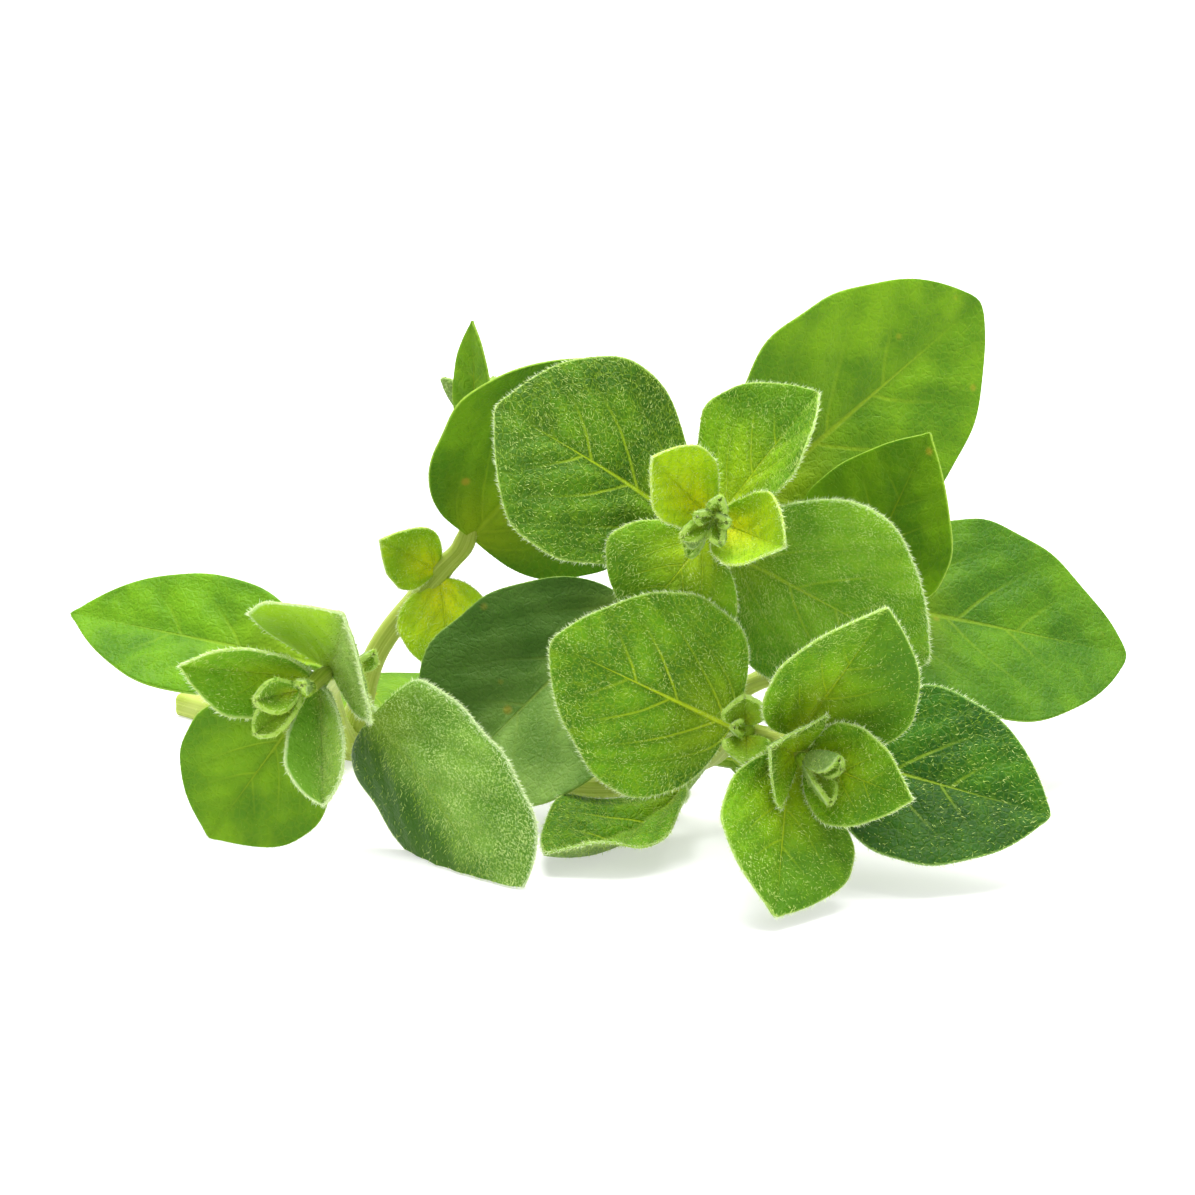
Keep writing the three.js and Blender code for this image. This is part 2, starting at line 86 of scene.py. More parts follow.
LEAVES = {
    "centre_leaf_0_lower": leaf_row("centre.centre_0", 194, -42, 50, 11.5, 31.6, 26.3, fold=14, bend=15,
        round=0.46, point=3.1),
    "centre_leaf_0_upper": leaf_row("centre.centre_0", 32, 31, -75, 6.7, 39, 27.5, fold=8, cup=-5,
        bend=5, point=1.3, taper=0.75),
    "centre_leaf_1_left": leaf_row("centre.centre_1", 187, 34, 61, 3, 26.2, 25, fold=8, cup=-10,
        bend=28, round=0.61, point=2.8, taper=0.93),
    "centre_leaf_1_right": leaf_row("centre.centre_1", 344, -25, -100, 3, 25.3, 26, fold=9, cup=-26,
        round=0.49, point=2, taper=0.89),
    "centre_leaf_2_upper": leaf_row("centre.centre_2", 364, 53, -31, 2, 17.4, 18.3, fold=20, cup=5,
        bend=12, round=0.49, point=2.3, taper=0.89),
    "centre_leaf_2_lower": leaf_row("centre.centre_2", 198, -48, 67, 1.5, 13.2, 16.6, fold=2, cup=-3,
        bend=66, round=0.5, point=2.3),
    "centre_leaf_3_left": leaf_row("centre.centre_3", 217, 44, 92, 1, 11.2, 10, fold=15, cup=15,
        bend=-20, point=3.4, taper=0.8),
    "centre_leaf_3_right": leaf_row("centre.centre_3", 303, 0, -52, 1, 12.3, 10.4, fold=15, cup=25,
        bend=-20, point=3.2, taper=0.8),
    "front_leaf_1_left": leaf_row("main.front_1", 188, 28, 80, 1.9, 22.6, 23.4, fold=6, cup=-8, bend=5,
        round=0.47, point=0.9, taper=0.76),
    "front_leaf_1_right": leaf_row("main.front_1", 348, -12, -48, 8.3, 26.7, 21.3, fold=12, cup=-7,
        bend=10, round=0.52, point=1.9, taper=0.89),
    "front_leaf_2_upper": leaf_row("main.front_2", 324, 55, -138, 2, 19.4, 18.3, fold=27, cup=-13,
        bend=13, round=0.42, point=2.2, taper=0.93),
    "front_leaf_2_lower": leaf_row("main.front_2", 263, -38, 36, 1.9, 20.4, 17.2, fold=21, cup=-29,
        bend=7, round=0.62, point=2.3, taper=1.02),
    "front_leaf_3_left": leaf_row("main.front_3", 243, 22, 110, 1, 8.6, 13.2, fold=31, bend=-50),
    "front_leaf_3_right": leaf_row("main.front_3", 322, -8, -73, 1, 13.6, 11.6, fold=10, cup=10, bend=5,
        point=1.5),
    "left_leaf_1_left": leaf_row("left.left_1", 158, 5, 42, 4, 31.1, 15.9, fold=12, cup=-5, bend=10,
        point=2.1, taper=0.99),
    "left_leaf_1_right": leaf_row("left.left_1", 320, -42, -86, 6.1, 27, 20.6, fold=4, cup=-33,
        round=0.12, point=6, taper=0.73),
    "left_leaf_2_upper": leaf_row("left.left_2", 281, 40, -130, 1.5, 14.6, 20.2, fold=15, cup=20,
        bend=-10),
    "left_leaf_2_lower": leaf_row("left.left_2", 183, -54, 78, 4, 19.6, 18.4, fold=15, cup=-5, bend=6,
        round=0.43, point=3),
    "left_leaf_3_left": leaf_row("left.left_3", 186, 7, 101, 1, 14.4, 10.5, fold=32, cup=5, point=2.4),
    "left_leaf_3_lower": leaf_row("left.left_3", 275, -58, -15, 1.3, 13, 9.3, fold=38, cup=12,
        point=3.6, taper=0.75),
    "back_left_leaf_0_left": leaf_row("back_left.back_left_0", 222, 31, 100, 1, 9.6, 8, fold=10,
        point=1.6),
    "back_left_leaf_0_lower": leaf_row("back_left.back_left_0", 285, -64, -28, 1, 12, 11.5, fold=8,
        point=1.9),
    "back_left_leaf_1_right": leaf_row("back_left.back_left_1", 359, 47, -105, 1, 28.3, 30, fold=12,
        cup=10, bend=5, round=0.32, point=2.7, taper=0.83),
    "back_left_leaf_1_back": leaf_row("back_left.back_left_1", 58, 4, 0, 3, 24, 19, fold=8, bend=25),
    "back_left_leaf_2_upper": leaf_row("back_left.back_left_2", 8, 91, -50, 1.5, 16, 5.5, fold=12),
    "back_left_leaf_2_back": leaf_row("back_left.back_left_2", 40, 20, 0, 2, 14, 10, fold=12, bend=15),
    "back_leaf_1_lower": leaf_row("back.back_1", 14, -15, -45, 2, 33.8, 26.9, fold=8, cup=-5, bend=8,
        round=0.35, point=1.8, taper=0.76),
    "back_leaf_1_upper": leaf_row("back.back_1", 332, 66, -90, 2, 21.1, 19.3, fold=12, point=1.1),
    "main_leaf_front": leaf_row("main.rise", 223, -12, -4, 4.5, 22.3, 17.3, fold=42, cup=-45, bend=-59,
        round=0.7, point=2.3, wave=1.1, waves=1.3, phase=6.3),
    "main_leaf_right": leaf_row("main.rise", 15, -18, -20, 3, 22, 16, fold=8, bend=10),
    "main_leaf_back": leaf_row("main.fork_right", 95, -4, 0, 4, 25, 19, fold=6, bend=12),
    "main_leaf_far": leaf_row("main.fork_left", 70, 4, 0, 4, 22, 17, fold=6, bend=20),
}


def bud_row(turn, open_, length, width, **shape):
    """A small leaf of a bud, turned about its axis and open_ degrees away from it."""
    return {"turn": turn, "open": open_, "length": length, "width": width, **shape}


BUDS = {
    "centre_tip": dict(
        on="centre.tip", facing=(262, 0), core=1.2,
        leaves=(
            bud_row(72, 40, 4.6, 3),
            bud_row(205, 46, 4.2, 2.8),
            bud_row(300, 30, 3.8, 2.6),
            bud_row(145, 28, 3.6, 2.4),
            bud_row(14, 28, 3.4, 2.4),
        ),
    ),
    "front_tip": dict(
        on="main.tip", facing=(302, 0), core=0.9,
        leaves=(
            bud_row(92, 18, 6, 4.2, cup=50, round=0.4, point=3.6, taper=0.6),
            bud_row(266, 34, 5.4, 4, cup=50, round=0.4, point=3.6, taper=0.6),
            bud_row(0, 22, 4, 3.2),
        ),
    ),
    "left_tip": dict(
        on="left.tip", facing=(250, 8), core=1,
        leaves=(
            bud_row(196, 50, 5.2, 5.2),
            bud_row(228, 72, 6.8, 5),
            bud_row(40, 26, 3.4, 2.4),
        ),
    ),
    "centre_axil": dict(
        on="centre.centre_3", beside=0.8, facing=(210, -40), core=0.8,
        leaves=(
            bud_row(52, 34, 2.7, 2.1),
            bud_row(236, 27, 2.5, 2),
        ),
    ),
    "front_axil": dict(
        on="main.front_1", beside=1.1, facing=(272, 24), core=1.1,
        leaves=(
            bud_row(94, 56, 3.6, 6.6, fold=18, cup=35, round=0.4, point=4, taper=0.5),
            bud_row(268, 58, 3.8, 6.6, fold=18, cup=35, round=0.4, point=4, taper=0.5),
            bud_row(175, 30, 2.6, 2.6),
        ),
    ),
    "left_axil": dict(
        on="left.left_1", beside=1, facing=(298, 12), core=1,
        leaves=(
            bud_row(60, 40, 3.6, 3),
            bud_row(240, 45, 3.6, 3),
        ),
    ),
    "back_left_tip": dict(
        on="back_left.tip", facing=(100, 70), core=1.1,
        leaves=(
            bud_row(10, 35, 5, 3.4),
            bud_row(190, 35, 5, 3.4),
        ),
    ),
    "back_tip": dict(
        on="back.tip", facing=(20, 35), core=1.2,
        leaves=(
            bud_row(207, 42, 5, 3.6),
            bud_row(24, 33, 4.6, 3.1),
        ),
    ),
}

# Buds.
SEAT_GAP = 0.3  # between a core and the end of its stem, as in the CAD source
BUD_STEP = 0.3  # between two points of a bud leaf's mesh
CORE_REACH = 0.7  # share of the way back to the stem that the core is drawn out
CORE_FINENESS = 3  # how often the faces of its ball are divided
CORE_PLACE = dict(blade=(0.5, 0.5), share=(0.2, 0.2))  # it is coloured as this place of a leaf
# Stems.
STEM_STEP = 0.7  # between two rings of points
FINE_STEPS = 60  # of the line between two nodes, from which the rings are spaced
STEM_LOWEST = 0.02
STEM_SIDES = 24
STEM_SQUARE = 3.4  # 2 is round, more is squarer
SIDE_GROOVE = 0.07  # its depth as a share of the half width
NODE_SWELL = 0.22  # how much thicker it is at its leaves, and over which length
NODE_REACH = 1.3
FOOT_RINGS = 3  # of a side stem, inside the main one
FOOT_WIDER = 0.3  # as the two above, for the foot
FOOT_REACH = 2.5
TIP_RINGS = ((0.25, 0.8), (0.42, 0.45))  # how far past a stem's end, and how wide
STEM_SEED = 11
STEM_UNEVEN = 0.03  # how much its thickness strays, from one to the next of so many rings
UNEVEN_EVERY = 4
GROOVE_POWER = 8  # more gives a narrower groove in each side
UV_LENGTH = 10  # of stem, to one of its pattern's second coordinate
CUT_DEPTH = 0.12  # of the pith in the middle of a cut
CUT_CLOSING = (1.0, 0.7, 0.35)  # widths of the rings that close the cut
TIP_CLOSING = (0.5,)
CLOSING_SWELL = 4  # more gives a flatter end with a rounder edge
# Hairs. They are thicker than a real plant's, which are too fine to show.
MARGIN_HAIRS = 36  # on a square millimetre of the thin margin
UNDER_HAIRS = 0.45  # share of the upper side's hairs that the under side has
CLOSER_HAIRS = 1.2  # how many times more of them a leaf's face has at its margin
CLOSER_REACH = 0.45  # and how far in from it
# Where a half of a leaf gets barer, and on some leaves painted shade: distance from the midrib as a share
# of the blade's length.
BARE_AND_SHADE_FROM = -0.04
BARE_AND_SHADE_TO = 0.14
HAIR_STRAY = 0.75  # sideways, as a share of a hair's lean
HAIR_BEND = 0.35
HAIR_SHORTEST = 0.55  # as shares of the coat's length
HAIR_LONGEST = 1.3
LEAN_OUT = 0.5  # how much a leaf's hairs lean to its margin, where 1 is as much as to its tip
STEM_LEAN = 0.4
# A coat's hairs. stand is how steeply they rise.
LEAF_HAIR = dict(length=0.3, thick=0.035, stand=0.9, material="Sparse leaf hair")
NEAR_HAIR = dict(length=0.46, thick=0.06, stand=0.8, material="Leaf hair")
BUD_HAIR = dict(length=0.36, thick=0.055, stand=0.8, material="Leaf hair")
STEM_HAIR = dict(length=0.45, thick=0.045, stand=1.6, material="Leaf hair")

# Where the seeds of random draws start, and how far they are apart.
LEAF_SEED_STEP = 1.7
BUD_LEAF_SEED = 40
BUD_LEAF_SEED_STEP = 3
STEM_HAIR_SEED = 100
BUD_HAIR_SEED = 200

# The finish of each leaf. The ones not named are smooth.
TONE_LEAVES = {
    "front": ("front_leaf_1_left", "main_leaf_front"),
    "mid": ("centre_leaf_1_left",),
    "soft": ("centre_leaf_1_right",),
    "deep": ("front_leaf_1_right",),
    "fresh": ("centre_leaf_2_upper", "centre_leaf_2_lower", "front_leaf_3_left", "front_leaf_3_right"),
    "folded": ("front_leaf_2_upper",),
    "hanging": ("front_leaf_2_lower",),
    "tender": ("left_leaf_3_left",),
    "young": ("centre_leaf_3_left", "centre_leaf_3_right", "back_left_leaf_0_left",
              "back_left_leaf_0_lower"),
    "silver": ("left_leaf_1_right",),
    "pale": ("left_leaf_2_upper",),
    "strip": ("left_leaf_3_lower",),
    "mild": ("left_leaf_1_left",),
    "dull": ("back_leaf_1_lower",),
    "shade": ("centre_leaf_0_lower",),
}
TONE_OF = {name: key for key, names in TONE_LEAVES.items() for name in names}
SPARSE = ("bud", "smooth", "mild", "dull", "shade")  # the finishes with few hairs at the margin
FEWER_AT_MARGIN = 0.4  # share of MARGIN_HAIRS that they have

CAMERA_SPOT = (0.0, -403.73, 144.17)  # in millimetres of the stems' frame
CAMERA_TILT = 16  # downwards, in degrees
LENS = 113
SKY_STRENGTH = 0.9
FLOOR_SIZE = 6  # in metres
FLOOR_GLOW = 0.45
WHITE = (1, 1, 1, 1)
LIGHTS = (
    dict(name="key", spot=(0.05, 0.12, 0.85), aim=(0, 0, 0.02), size=0.75, power=14.0),
    dict(name="fill", spot=(-0.5, -0.7, 0.45), aim=(0, 0, 0.02), size=0.8, power=1.0),
)

# Leaves.
GRID_STEP = 0.55  # between two points of a blade's mesh
ALONG_CLOSER = 1.2  # times as many of them along the blade
MOST_ALONG = 60  # the most and the fewest points of a blade's mesh along it and on half its width
MOST_ACROSS = 26
FEWEST_ALONG = 9
FEWEST_ACROSS = 4
NECK_STEP = 0.8  # between two points along a petiole
EDGE_CROWDING = 1.15  # more than 1 puts the points closer near the margin
BLADE_THICKNESS = 0.42
# What the small leaves of a bud share, as in the CAD source, but thicker with their hairs.
BUD_LEAF = dict(thick=0.75, petiole=0.8, fold=25, cup=40, bend=-30, point=3.2, taper=0.7)
PETIOLE_THICKNESS = 1.0
PETIOLE_HALF_WIDTH = 0.6
# One over the share of the blade along which the petiole's form is lost, or the blade's own begins.
WIDTH_FADE = 3
THICKNESS_FADE = 5
ROUND_FADE = 4
RIB_START = 8
PUFF_START = 8
PUFF_END = 3  # the same at the tip
BLADE_EDGE = 0.93  # a petiole's margin is round, at 1, and a blade's is less so
EDGE_POWER = 8  # more gives a fuller margin
EDGE_THINNEST = 0.12  # share of the thickness, squared
TIP_HALF_WIDTH = 0.12
TIP_ROUND = 0.028  # share of the blade's length where its tip is rounded off
TIP_BLUNT = 0.6  # less is blunter
# Lateral veins: where each starts on the midrib, how it slants to the tip and how it curves there. All
# are shares of the blade's length. The two sides start a little apart.
VEINS = ((0.0, -0.1, 3.3), (0.03, 0.85, 1.5), (0.29, 0.85, 1.4), (0.53, 0.8, 1.3), (0.72, 0.8, 1.2))
SIDE_SHIFT = 0.045
PUFF = 0.55  # height of the leaf's swelling between its veins
PUFF_LEVEL = 0.6  # share of it that is taken off everywhere, so that the leaf keeps its mean height
FULL_PUFF = 20  # length of a blade that has the whole of it
VALLEY = 0.06  # half width of the valley along a vein, as a share of the blade's length
RIB_HALF_WIDTH = 0.55  # of the rib on the under side
RIB_HEIGHT = 0.35
# Uneven waves of a blade's margin, in its plane and out of it: size as a share of the half width, how
# fast they follow each other along the blade, and how much the leaf's own seed turns them.
MARGIN_WAVES = ((0.016, 11, 1), (0.012, 23, 1.7))
MARGIN_SWELLS = ((0.025, 9, 1), (0.016, 21, 2.7))
SIDES_APART = 2.2  # turn of these waves between the two halves of a leaf
SMALL = 1e-3  # radians below which a bend or cup counts as flat
TOO_LOW = -0.6  # a blade that reaches lower than this is cut off at the surface
FLOOR_EDGE = 0.12  # where it ends this high above it, to one of so many steps
CUT_STEPS = 160
LOWEST = 0.03  # and nothing of a leaf is lower than this
# What a face of a leaf or a bud is part of.
UPPER_SIDE, UNDER_SIDE, MARGIN, CORE = range(4)


def outline_at(t, foot, point, taper):
    """Half width of a blade at share t of its length, as a share of its greatest half width. A smaller
    foot is rounder, and a larger point and a smaller taper give a blunter tip."""

    def shape(u):
        return u**foot * np.maximum(1 - u**point, 0) ** taper

    widest = (foot / (foot + taper * point)) ** (1 / point)
    return shape(t) / shape(widest)


def turned(vector, axis, angle):
    """A vector turned about an axis."""
    return (
        vector * math.cos(angle)
        + np.cross(axis, vector) * math.sin(angle)
        + axis * np.dot(axis, vector) * (1 - math.cos(angle))
    )


def leaf_frame(heading, rise, roll):
    """Rows: along, side and up of a leaf with that heading, rise and roll."""
    h, r, a = (math.radians(v) for v in (heading, rise, roll))
    along = np.array([math.cos(h) * math.cos(r), math.sin(h) * math.cos(r), math.sin(r)])
    side = turned(np.array([-math.sin(h), math.cos(h), 0.0]), along, -a)
    return np.array([along, side, np.cross(along, side)])


def unit(vectors):
    """Vectors at a length of 1."""
    return vectors / np.maximum(np.linalg.norm(vectors, axis=-1, keepdims=True), 1e-12)


def uneven(waves, along, turn_of):
    """The sum of some waves along a blade."""
    return sum(size * np.sin(rate * along + turn * turn_of) for size, rate, turn in waves)


def vein_gap(share, across, right):
    """Distance to the nearest vein as a share of the blade's length. across is the distance from the
    midrib as such a share, and right is 1 on one side of the leaf and 0 on the other."""
    gap = across
    for start, slant, curve in VEINS:
        ahead = share - start - SIDE_SHIFT * right * (start > 0) - across * (slant + curve * across)
        steep = slant + 2 * curve * across
        gap = np.minimum(gap, np.abs(ahead) / np.sqrt(1 + steep**2))
    return gap


def blade_sheet(leaf, t, q):
    """Points of a leaf's middle sheet, their normals and its half width there, in the leaf's own frame.
    t is the share along the blade, below 0 on the petiole, and q the share across it, from -1 to 1."""
    fold, cup, bend = (math.radians(leaf.get(key, 0)) for key in ("fold", "cup", "bend"))
    length, petiole, half_width = leaf["length"], leaf["petiole"], leaf["width"] / 2
    blade = np.clip(t, 0, 1)
    form = leaf.get("round", 0.5), leaf.get("point", 2), leaf.get("taper", 1)
    neck = PETIOLE_HALF_WIDTH * np.clip(1 - WIDTH_FADE * blade, 0, 1)
    half = np.maximum(np.sqrt((half_width * outline_at(blade, *form)) ** 2 + neck**2), TIP_HALF_WIDTH)
    turn_of = leaf["seed"] + SIDES_APART * (q > 0)
    half = half * (1 + uneven(MARGIN_WAVES, blade, turn_of))
    near_tip = np.clip((t - 1 + TIP_ROUND) / TIP_ROUND, 0, 1)
    blunt = half_width * outline_at(1 - TIP_ROUND, *form) * (1 - near_tip) ** TIP_BLUNT
    half = np.where(near_tip > 0, np.maximum(half, blunt), half)
    # Its midrib is an arc, level in its middle.
    whole = petiole + length
    arch = bend if abs(bend) > SMALL else SMALL
    slope = arch * (0.5 - (petiole + t * np.where(t < 0, petiole, length)) / whole)
    zero = np.zeros_like(slope)
    ahead = (whole / arch) * (math.sin(arch / 2) - np.sin(slope))
    rise = (whole / arch) * (np.cos(slope) - math.cos(arch / 2))
    along = np.stack([np.cos(slope), zero, np.sin(slope)], -1)
    side = np.array([0.0, 1.0, 0.0])
    up = np.cross(along, side)
    # Across it, the halves rise by the fold and curl by the cup.
    a = np.abs(q)
    if abs(cup) < SMALL:
        reach, lift = a * math.cos(fold), a * math.sin(fold)
    else:
        reach = (np.sin(fold + cup * a) - math.sin(fold)) / cup
        lift = (math.cos(fold) - np.cos(fold + cup * a)) / cup
    phase = leaf.get("phase", 0) + np.where(q < 0, math.pi, 0)
    ripple = leaf.get("wave", 0) * a**2 * np.sin(2 * math.pi * leaf.get("waves", 2) * blade + phase)
    ripple += half_width * a**3 * uneven(MARGIN_SWELLS, blade, turn_of)
    points = (
        np.stack([ahead, zero, rise], -1)
        + side * (np.sign(q) * reach * half)[..., None]
        + up * (lift * half + ripple * half / half_width)[..., None]
    )
    lean = (np.sign(q) * (fold + cup * a))[..., None]
    normal = up * np.cos(lean) - side * np.sin(lean)
    # It swells between its veins, but not at its foot, tip and margin.
    gap = vein_gap(t, a * half / length, q > 0)
    swell = 1 - np.exp(-((gap / VALLEY) ** 2))
    fade = np.clip(t * PUFF_START, 0, 1) * np.clip(PUFF_END * (1 - blade), 0, 1) * (1 - a**3)
    relief = PUFF * min(1.0, length / FULL_PUFF) * (swell - PUFF_LEVEL) * fade
    return points + normal * relief[..., None], normal, half


def mesh_object(name, points, faces, material_of, materials):
    """A mesh object at the origin, from points in millimetres of the stems' frame."""
    mesh = bpy.data.meshes.new(name)
    mesh.from_pydata(((np.asarray(points) - MIDDLE) * MM).tolist(), [], [list(f) for f in faces])
    for material in materials:
        mesh.materials.append(material)
    mesh.polygons.foreach_set("material_index", np.asarray(material_of, dtype=np.int32))
    mesh.polygons.foreach_set("use_smooth", np.full(len(faces), True))
    mesh.update()
    made = bpy.data.objects.new(name, mesh)
    bpy.context.scene.collection.objects.link(made)
    return made


def set_attribute(mesh, name, values, kind="FLOAT", domain="POINT"):
    """A number or a vector for each point or face of a mesh."""
    values = np.asarray(values, dtype=np.float32)
    layer = mesh.attributes.new(name, kind, domain)
    layer.data.foreach_set("vector" if kind == "FLOAT_VECTOR" else "value", values.ravel())


def set_uv(mesh, name, values):
    """A UV map from one pair of numbers for each vertex."""
    corners = np.empty(len(mesh.loops), dtype=np.int32)
    mesh.loops.foreach_get("vertex_index", corners)
    layer = mesh.uv_layers.new(name=name)
    layer.data.foreach_set("uv", np.asarray(values, dtype=np.float32)[corners].ravel())


def leaf_grid(leaf, step):
    """Shares along and across a leaf for the points of its mesh."""
    n_along = round(leaf["length"] / step * ALONG_CLOSER)
    n_across = round(leaf["width"] / step / 2)
    n_neck = max(2, round(leaf["petiole"] / NECK_STEP))
    neck = np.linspace(-1, 0, n_neck, endpoint=False)
    turn = np.linspace(0, math.pi, int(np.clip(n_along, FEWEST_ALONG, MOST_ALONG)))
    spread = np.linspace(-1, 1, 2 * int(np.clip(n_across, FEWEST_ACROSS, MOST_ACROSS)) + 1)
    t = np.concatenate([neck, (1 - np.cos(turn)) / 2])
    q = np.sign(spread) * (1 - (1 - np.abs(spread)) ** EDGE_CROWDING)
    return np.meshgrid(t, q, indexing="ij")


def closed_faces(rows, columns):
    """Faces of two sheets of points and of the margin between them, and the side that each is on."""
    index = np.arange(rows * columns).reshape(rows, columns)
    corners = [index[:-1, :-1], index[1:, :-1], index[1:, 1:], index[:-1, 1:]]
    upper = np.stack(corners, -1).reshape(-1, 4)
    under = upper[:, ::-1] + index.size
    rim = np.concatenate([index[:, 0], index[-1, 1:], index[-2::-1, -1], index[0, -2:0:-1]])
    following = np.roll(rim, -1)
    margin = np.stack([rim, rim + index.size, following + index.size, following], -1)
    sides = np.repeat([UPPER_SIDE, UNDER_SIDE, MARGIN], [len(upper), len(under), len(margin)])
    return np.concatenate([upper, under, margin]), sides


def leaf_patch(leaf, foot, frame_rows, step=GRID_STEP):
    """A leaf as a closed sheet: its vertices, its faces, their sides, and the data of each vertex."""

    def place(local):
        return local @ frame_rows + foot

    t, q = leaf_grid(leaf, step)
    sheet, normal, half = blade_sheet(leaf, t, q)
    if place(sheet)[..., 2].min() < TOO_LOW:
        # Each line of the blade ends where it meets the surface.
        fine = np.linspace(0, 1, CUT_STEPS)
        ends = []
        for line in q[0]:
            height = place(blade_sheet(leaf, fine, np.full_like(fine, line))[0])[:, 2]
            low = np.nonzero(height < FLOOR_EDGE)[0]
            ends.append(fine[max(low[0] - 1, 1)] if len(low) else 1.0)
        t = np.where(t > 0, t * np.array(ends)[None, :], t)
        sheet, normal, half = blade_sheet(leaf, t, q)

    a = np.abs(q)
    blade = np.clip(t, 0, 1)
    thin = leaf.get("thick", BLADE_THICKNESS)
    thick = PETIOLE_THICKNESS + (thin - PETIOLE_THICKNESS) * np.clip(blade * THICKNESS_FADE, 0, 1)
    edge = (a * np.clip(1 - ROUND_FADE * blade, BLADE_EDGE, 1)) ** EDGE_POWER
    thick = thick * np.sqrt(np.clip(1 - edge, EDGE_THINNEST, 1))
    rib = RIB_HEIGHT * np.exp(-((a * half / RIB_HALF_WIDTH) ** 2)) * np.clip(1 - blade, 0, 1)
    below = thick / 2 + rib * np.clip(blade * RIB_START, 0, 1)
    skins = [place(sheet + normal * (thick / 2)[..., None]), place(sheet - normal * below[..., None])]
    # What would pass through the surface lies on it instead.
    lift = np.maximum(LOWEST + thick / 2 - place(sheet)[..., 2], 0)
    for skin in skins:
        skin[..., 2] = np.maximum(skin[..., 2] + lift, LOWEST)
    points = np.concatenate([skin.reshape(-1, 3) for skin in skins])
    # Hairs lean to the tip and a little to the margin.
    tipward = np.gradient(place(sheet), axis=0)
    outward = np.gradient(place(sheet), axis=1) * np.sign(q)[..., None]
    data = {
        "blade": np.stack([t, q * half / leaf["length"] + 0.5], -1),
        "share": np.stack([a, np.minimum((1 - a) * half, (1 - blade) * leaf["length"])], -1),
        "lean": unit(unit(tipward) + LEAN_OUT * unit(outward)),
    }
    data = {key: np.tile(values.reshape(-1, values.shape[-1]), (2, 1)) for key, values in data.items()}
    return points, *closed_faces(*t.shape), data


def linear(colour):
    """A colour as "#rrggbb" in linear values."""
    channels = [int(colour[i : i + 2], 16) / 255 for i in (1, 3, 5)]
    return (*(c / 12.92 if c <= 0.04045 else ((c + 0.055) / 1.055) ** 2.4 for c in channels), 1.0)


def add_node(tree, kind, inputs=(), output=0, **settings):
    """Adds a node and gives one of its outputs. The inputs come in their order, or under their names or
    numbers. Each is a constant, or the socket that it is linked to."""
    node = tree.nodes.new(kind)
    for key, value in settings.items():
        setattr(node, key, value)
    for socket, value in inputs.items() if isinstance(inputs, dict) else enumerate(inputs):
        if isinstance(value, bpy.types.NodeSocket):
            tree.links.new(value, node.inputs[socket])
        else:
            node.inputs[socket].default_value = value
    return node.outputs[output]


def new_material(name, **constants):
    """A material with these constants on its shader, and what adds nodes to it."""
    material = bpy.data.materials.new(name)
    material.use_nodes = True
    shader = material.node_tree.nodes["Principled BSDF"]
    for socket, value in constants.items():
        shader.inputs[socket.replace("_", " ")].default_value = value
    return material, functools.partial(add_node, material.node_tree)


def dress(material, **sockets):
    """Links these sockets to the inputs of the material's shader."""
    shader = material.node_tree.nodes["Principled BSDF"]
    for name, socket in sockets.items():
        material.node_tree.links.new(socket, shader.inputs[name.replace("_", " ")])


def sized(where, size, **more):
    """The inputs of a pattern whose features are that many millimetres large."""
    return {"Vector": where, "Scale": 1 / (size * MM), **more}


# Kinds and settings of the nodes that come back most.
MATH, RANGE, MIX = "ShaderNodeMath", "ShaderNodeMapRange", "ShaderNodeMix"
NOISE, CELLS = "ShaderNodeTexNoise", "ShaderNodeTexVoronoi"
PARTS = "ShaderNodeSeparateXYZ"
PLUS = dict(operation="ADD")
MINUS = dict(operation="SUBTRACT")
TIMES = dict(operation="MULTIPLY")
TIMES_PLUS = dict(operation="MULTIPLY_ADD")
OVER = dict(operation="DIVIDE")
LARGER = dict(operation="MAXIMUM")
SMALLER = dict(operation="MINIMUM")
AMOUNT = dict(operation="ABSOLUTE")
SOFT = dict(interpolation_type="SMOOTHSTEP")  # a range's inputs: value, its low and high, and theirs
COLOUR = dict(data_type="RGBA", output=2)  # a mix's inputs: 0 is the share, 6 and 7 are the colours


# A leaf's upper side, from light to plain: its colours between the veins lit and shaded, those of the
# veins, the foot and the hairy rim, how far the foot's colour spreads, the rim's width in millimetres, the
# share of fine pale down, the hairs on a square millimetre and the strength of the veins. spots is the
# strength of an older leaf's spots, tip how much darker its tip is, and the last three how much less down
# one half has and how far it is laid with another colour, which half, and that colour. On some leaves that
# colour is the balder half's own green, and on others it is painted shade on the half that the light
# misses.
TONE_COLUMNS = ("light", "dark", "vein", "foot", "rim", "spread", "rim_width", "down", "hairs", "plain")


def tone(*columns, **more):
    """A leaf's colours and measures under their names."""
    return {**dict(zip(TONE_COLUMNS, columns)), **more}


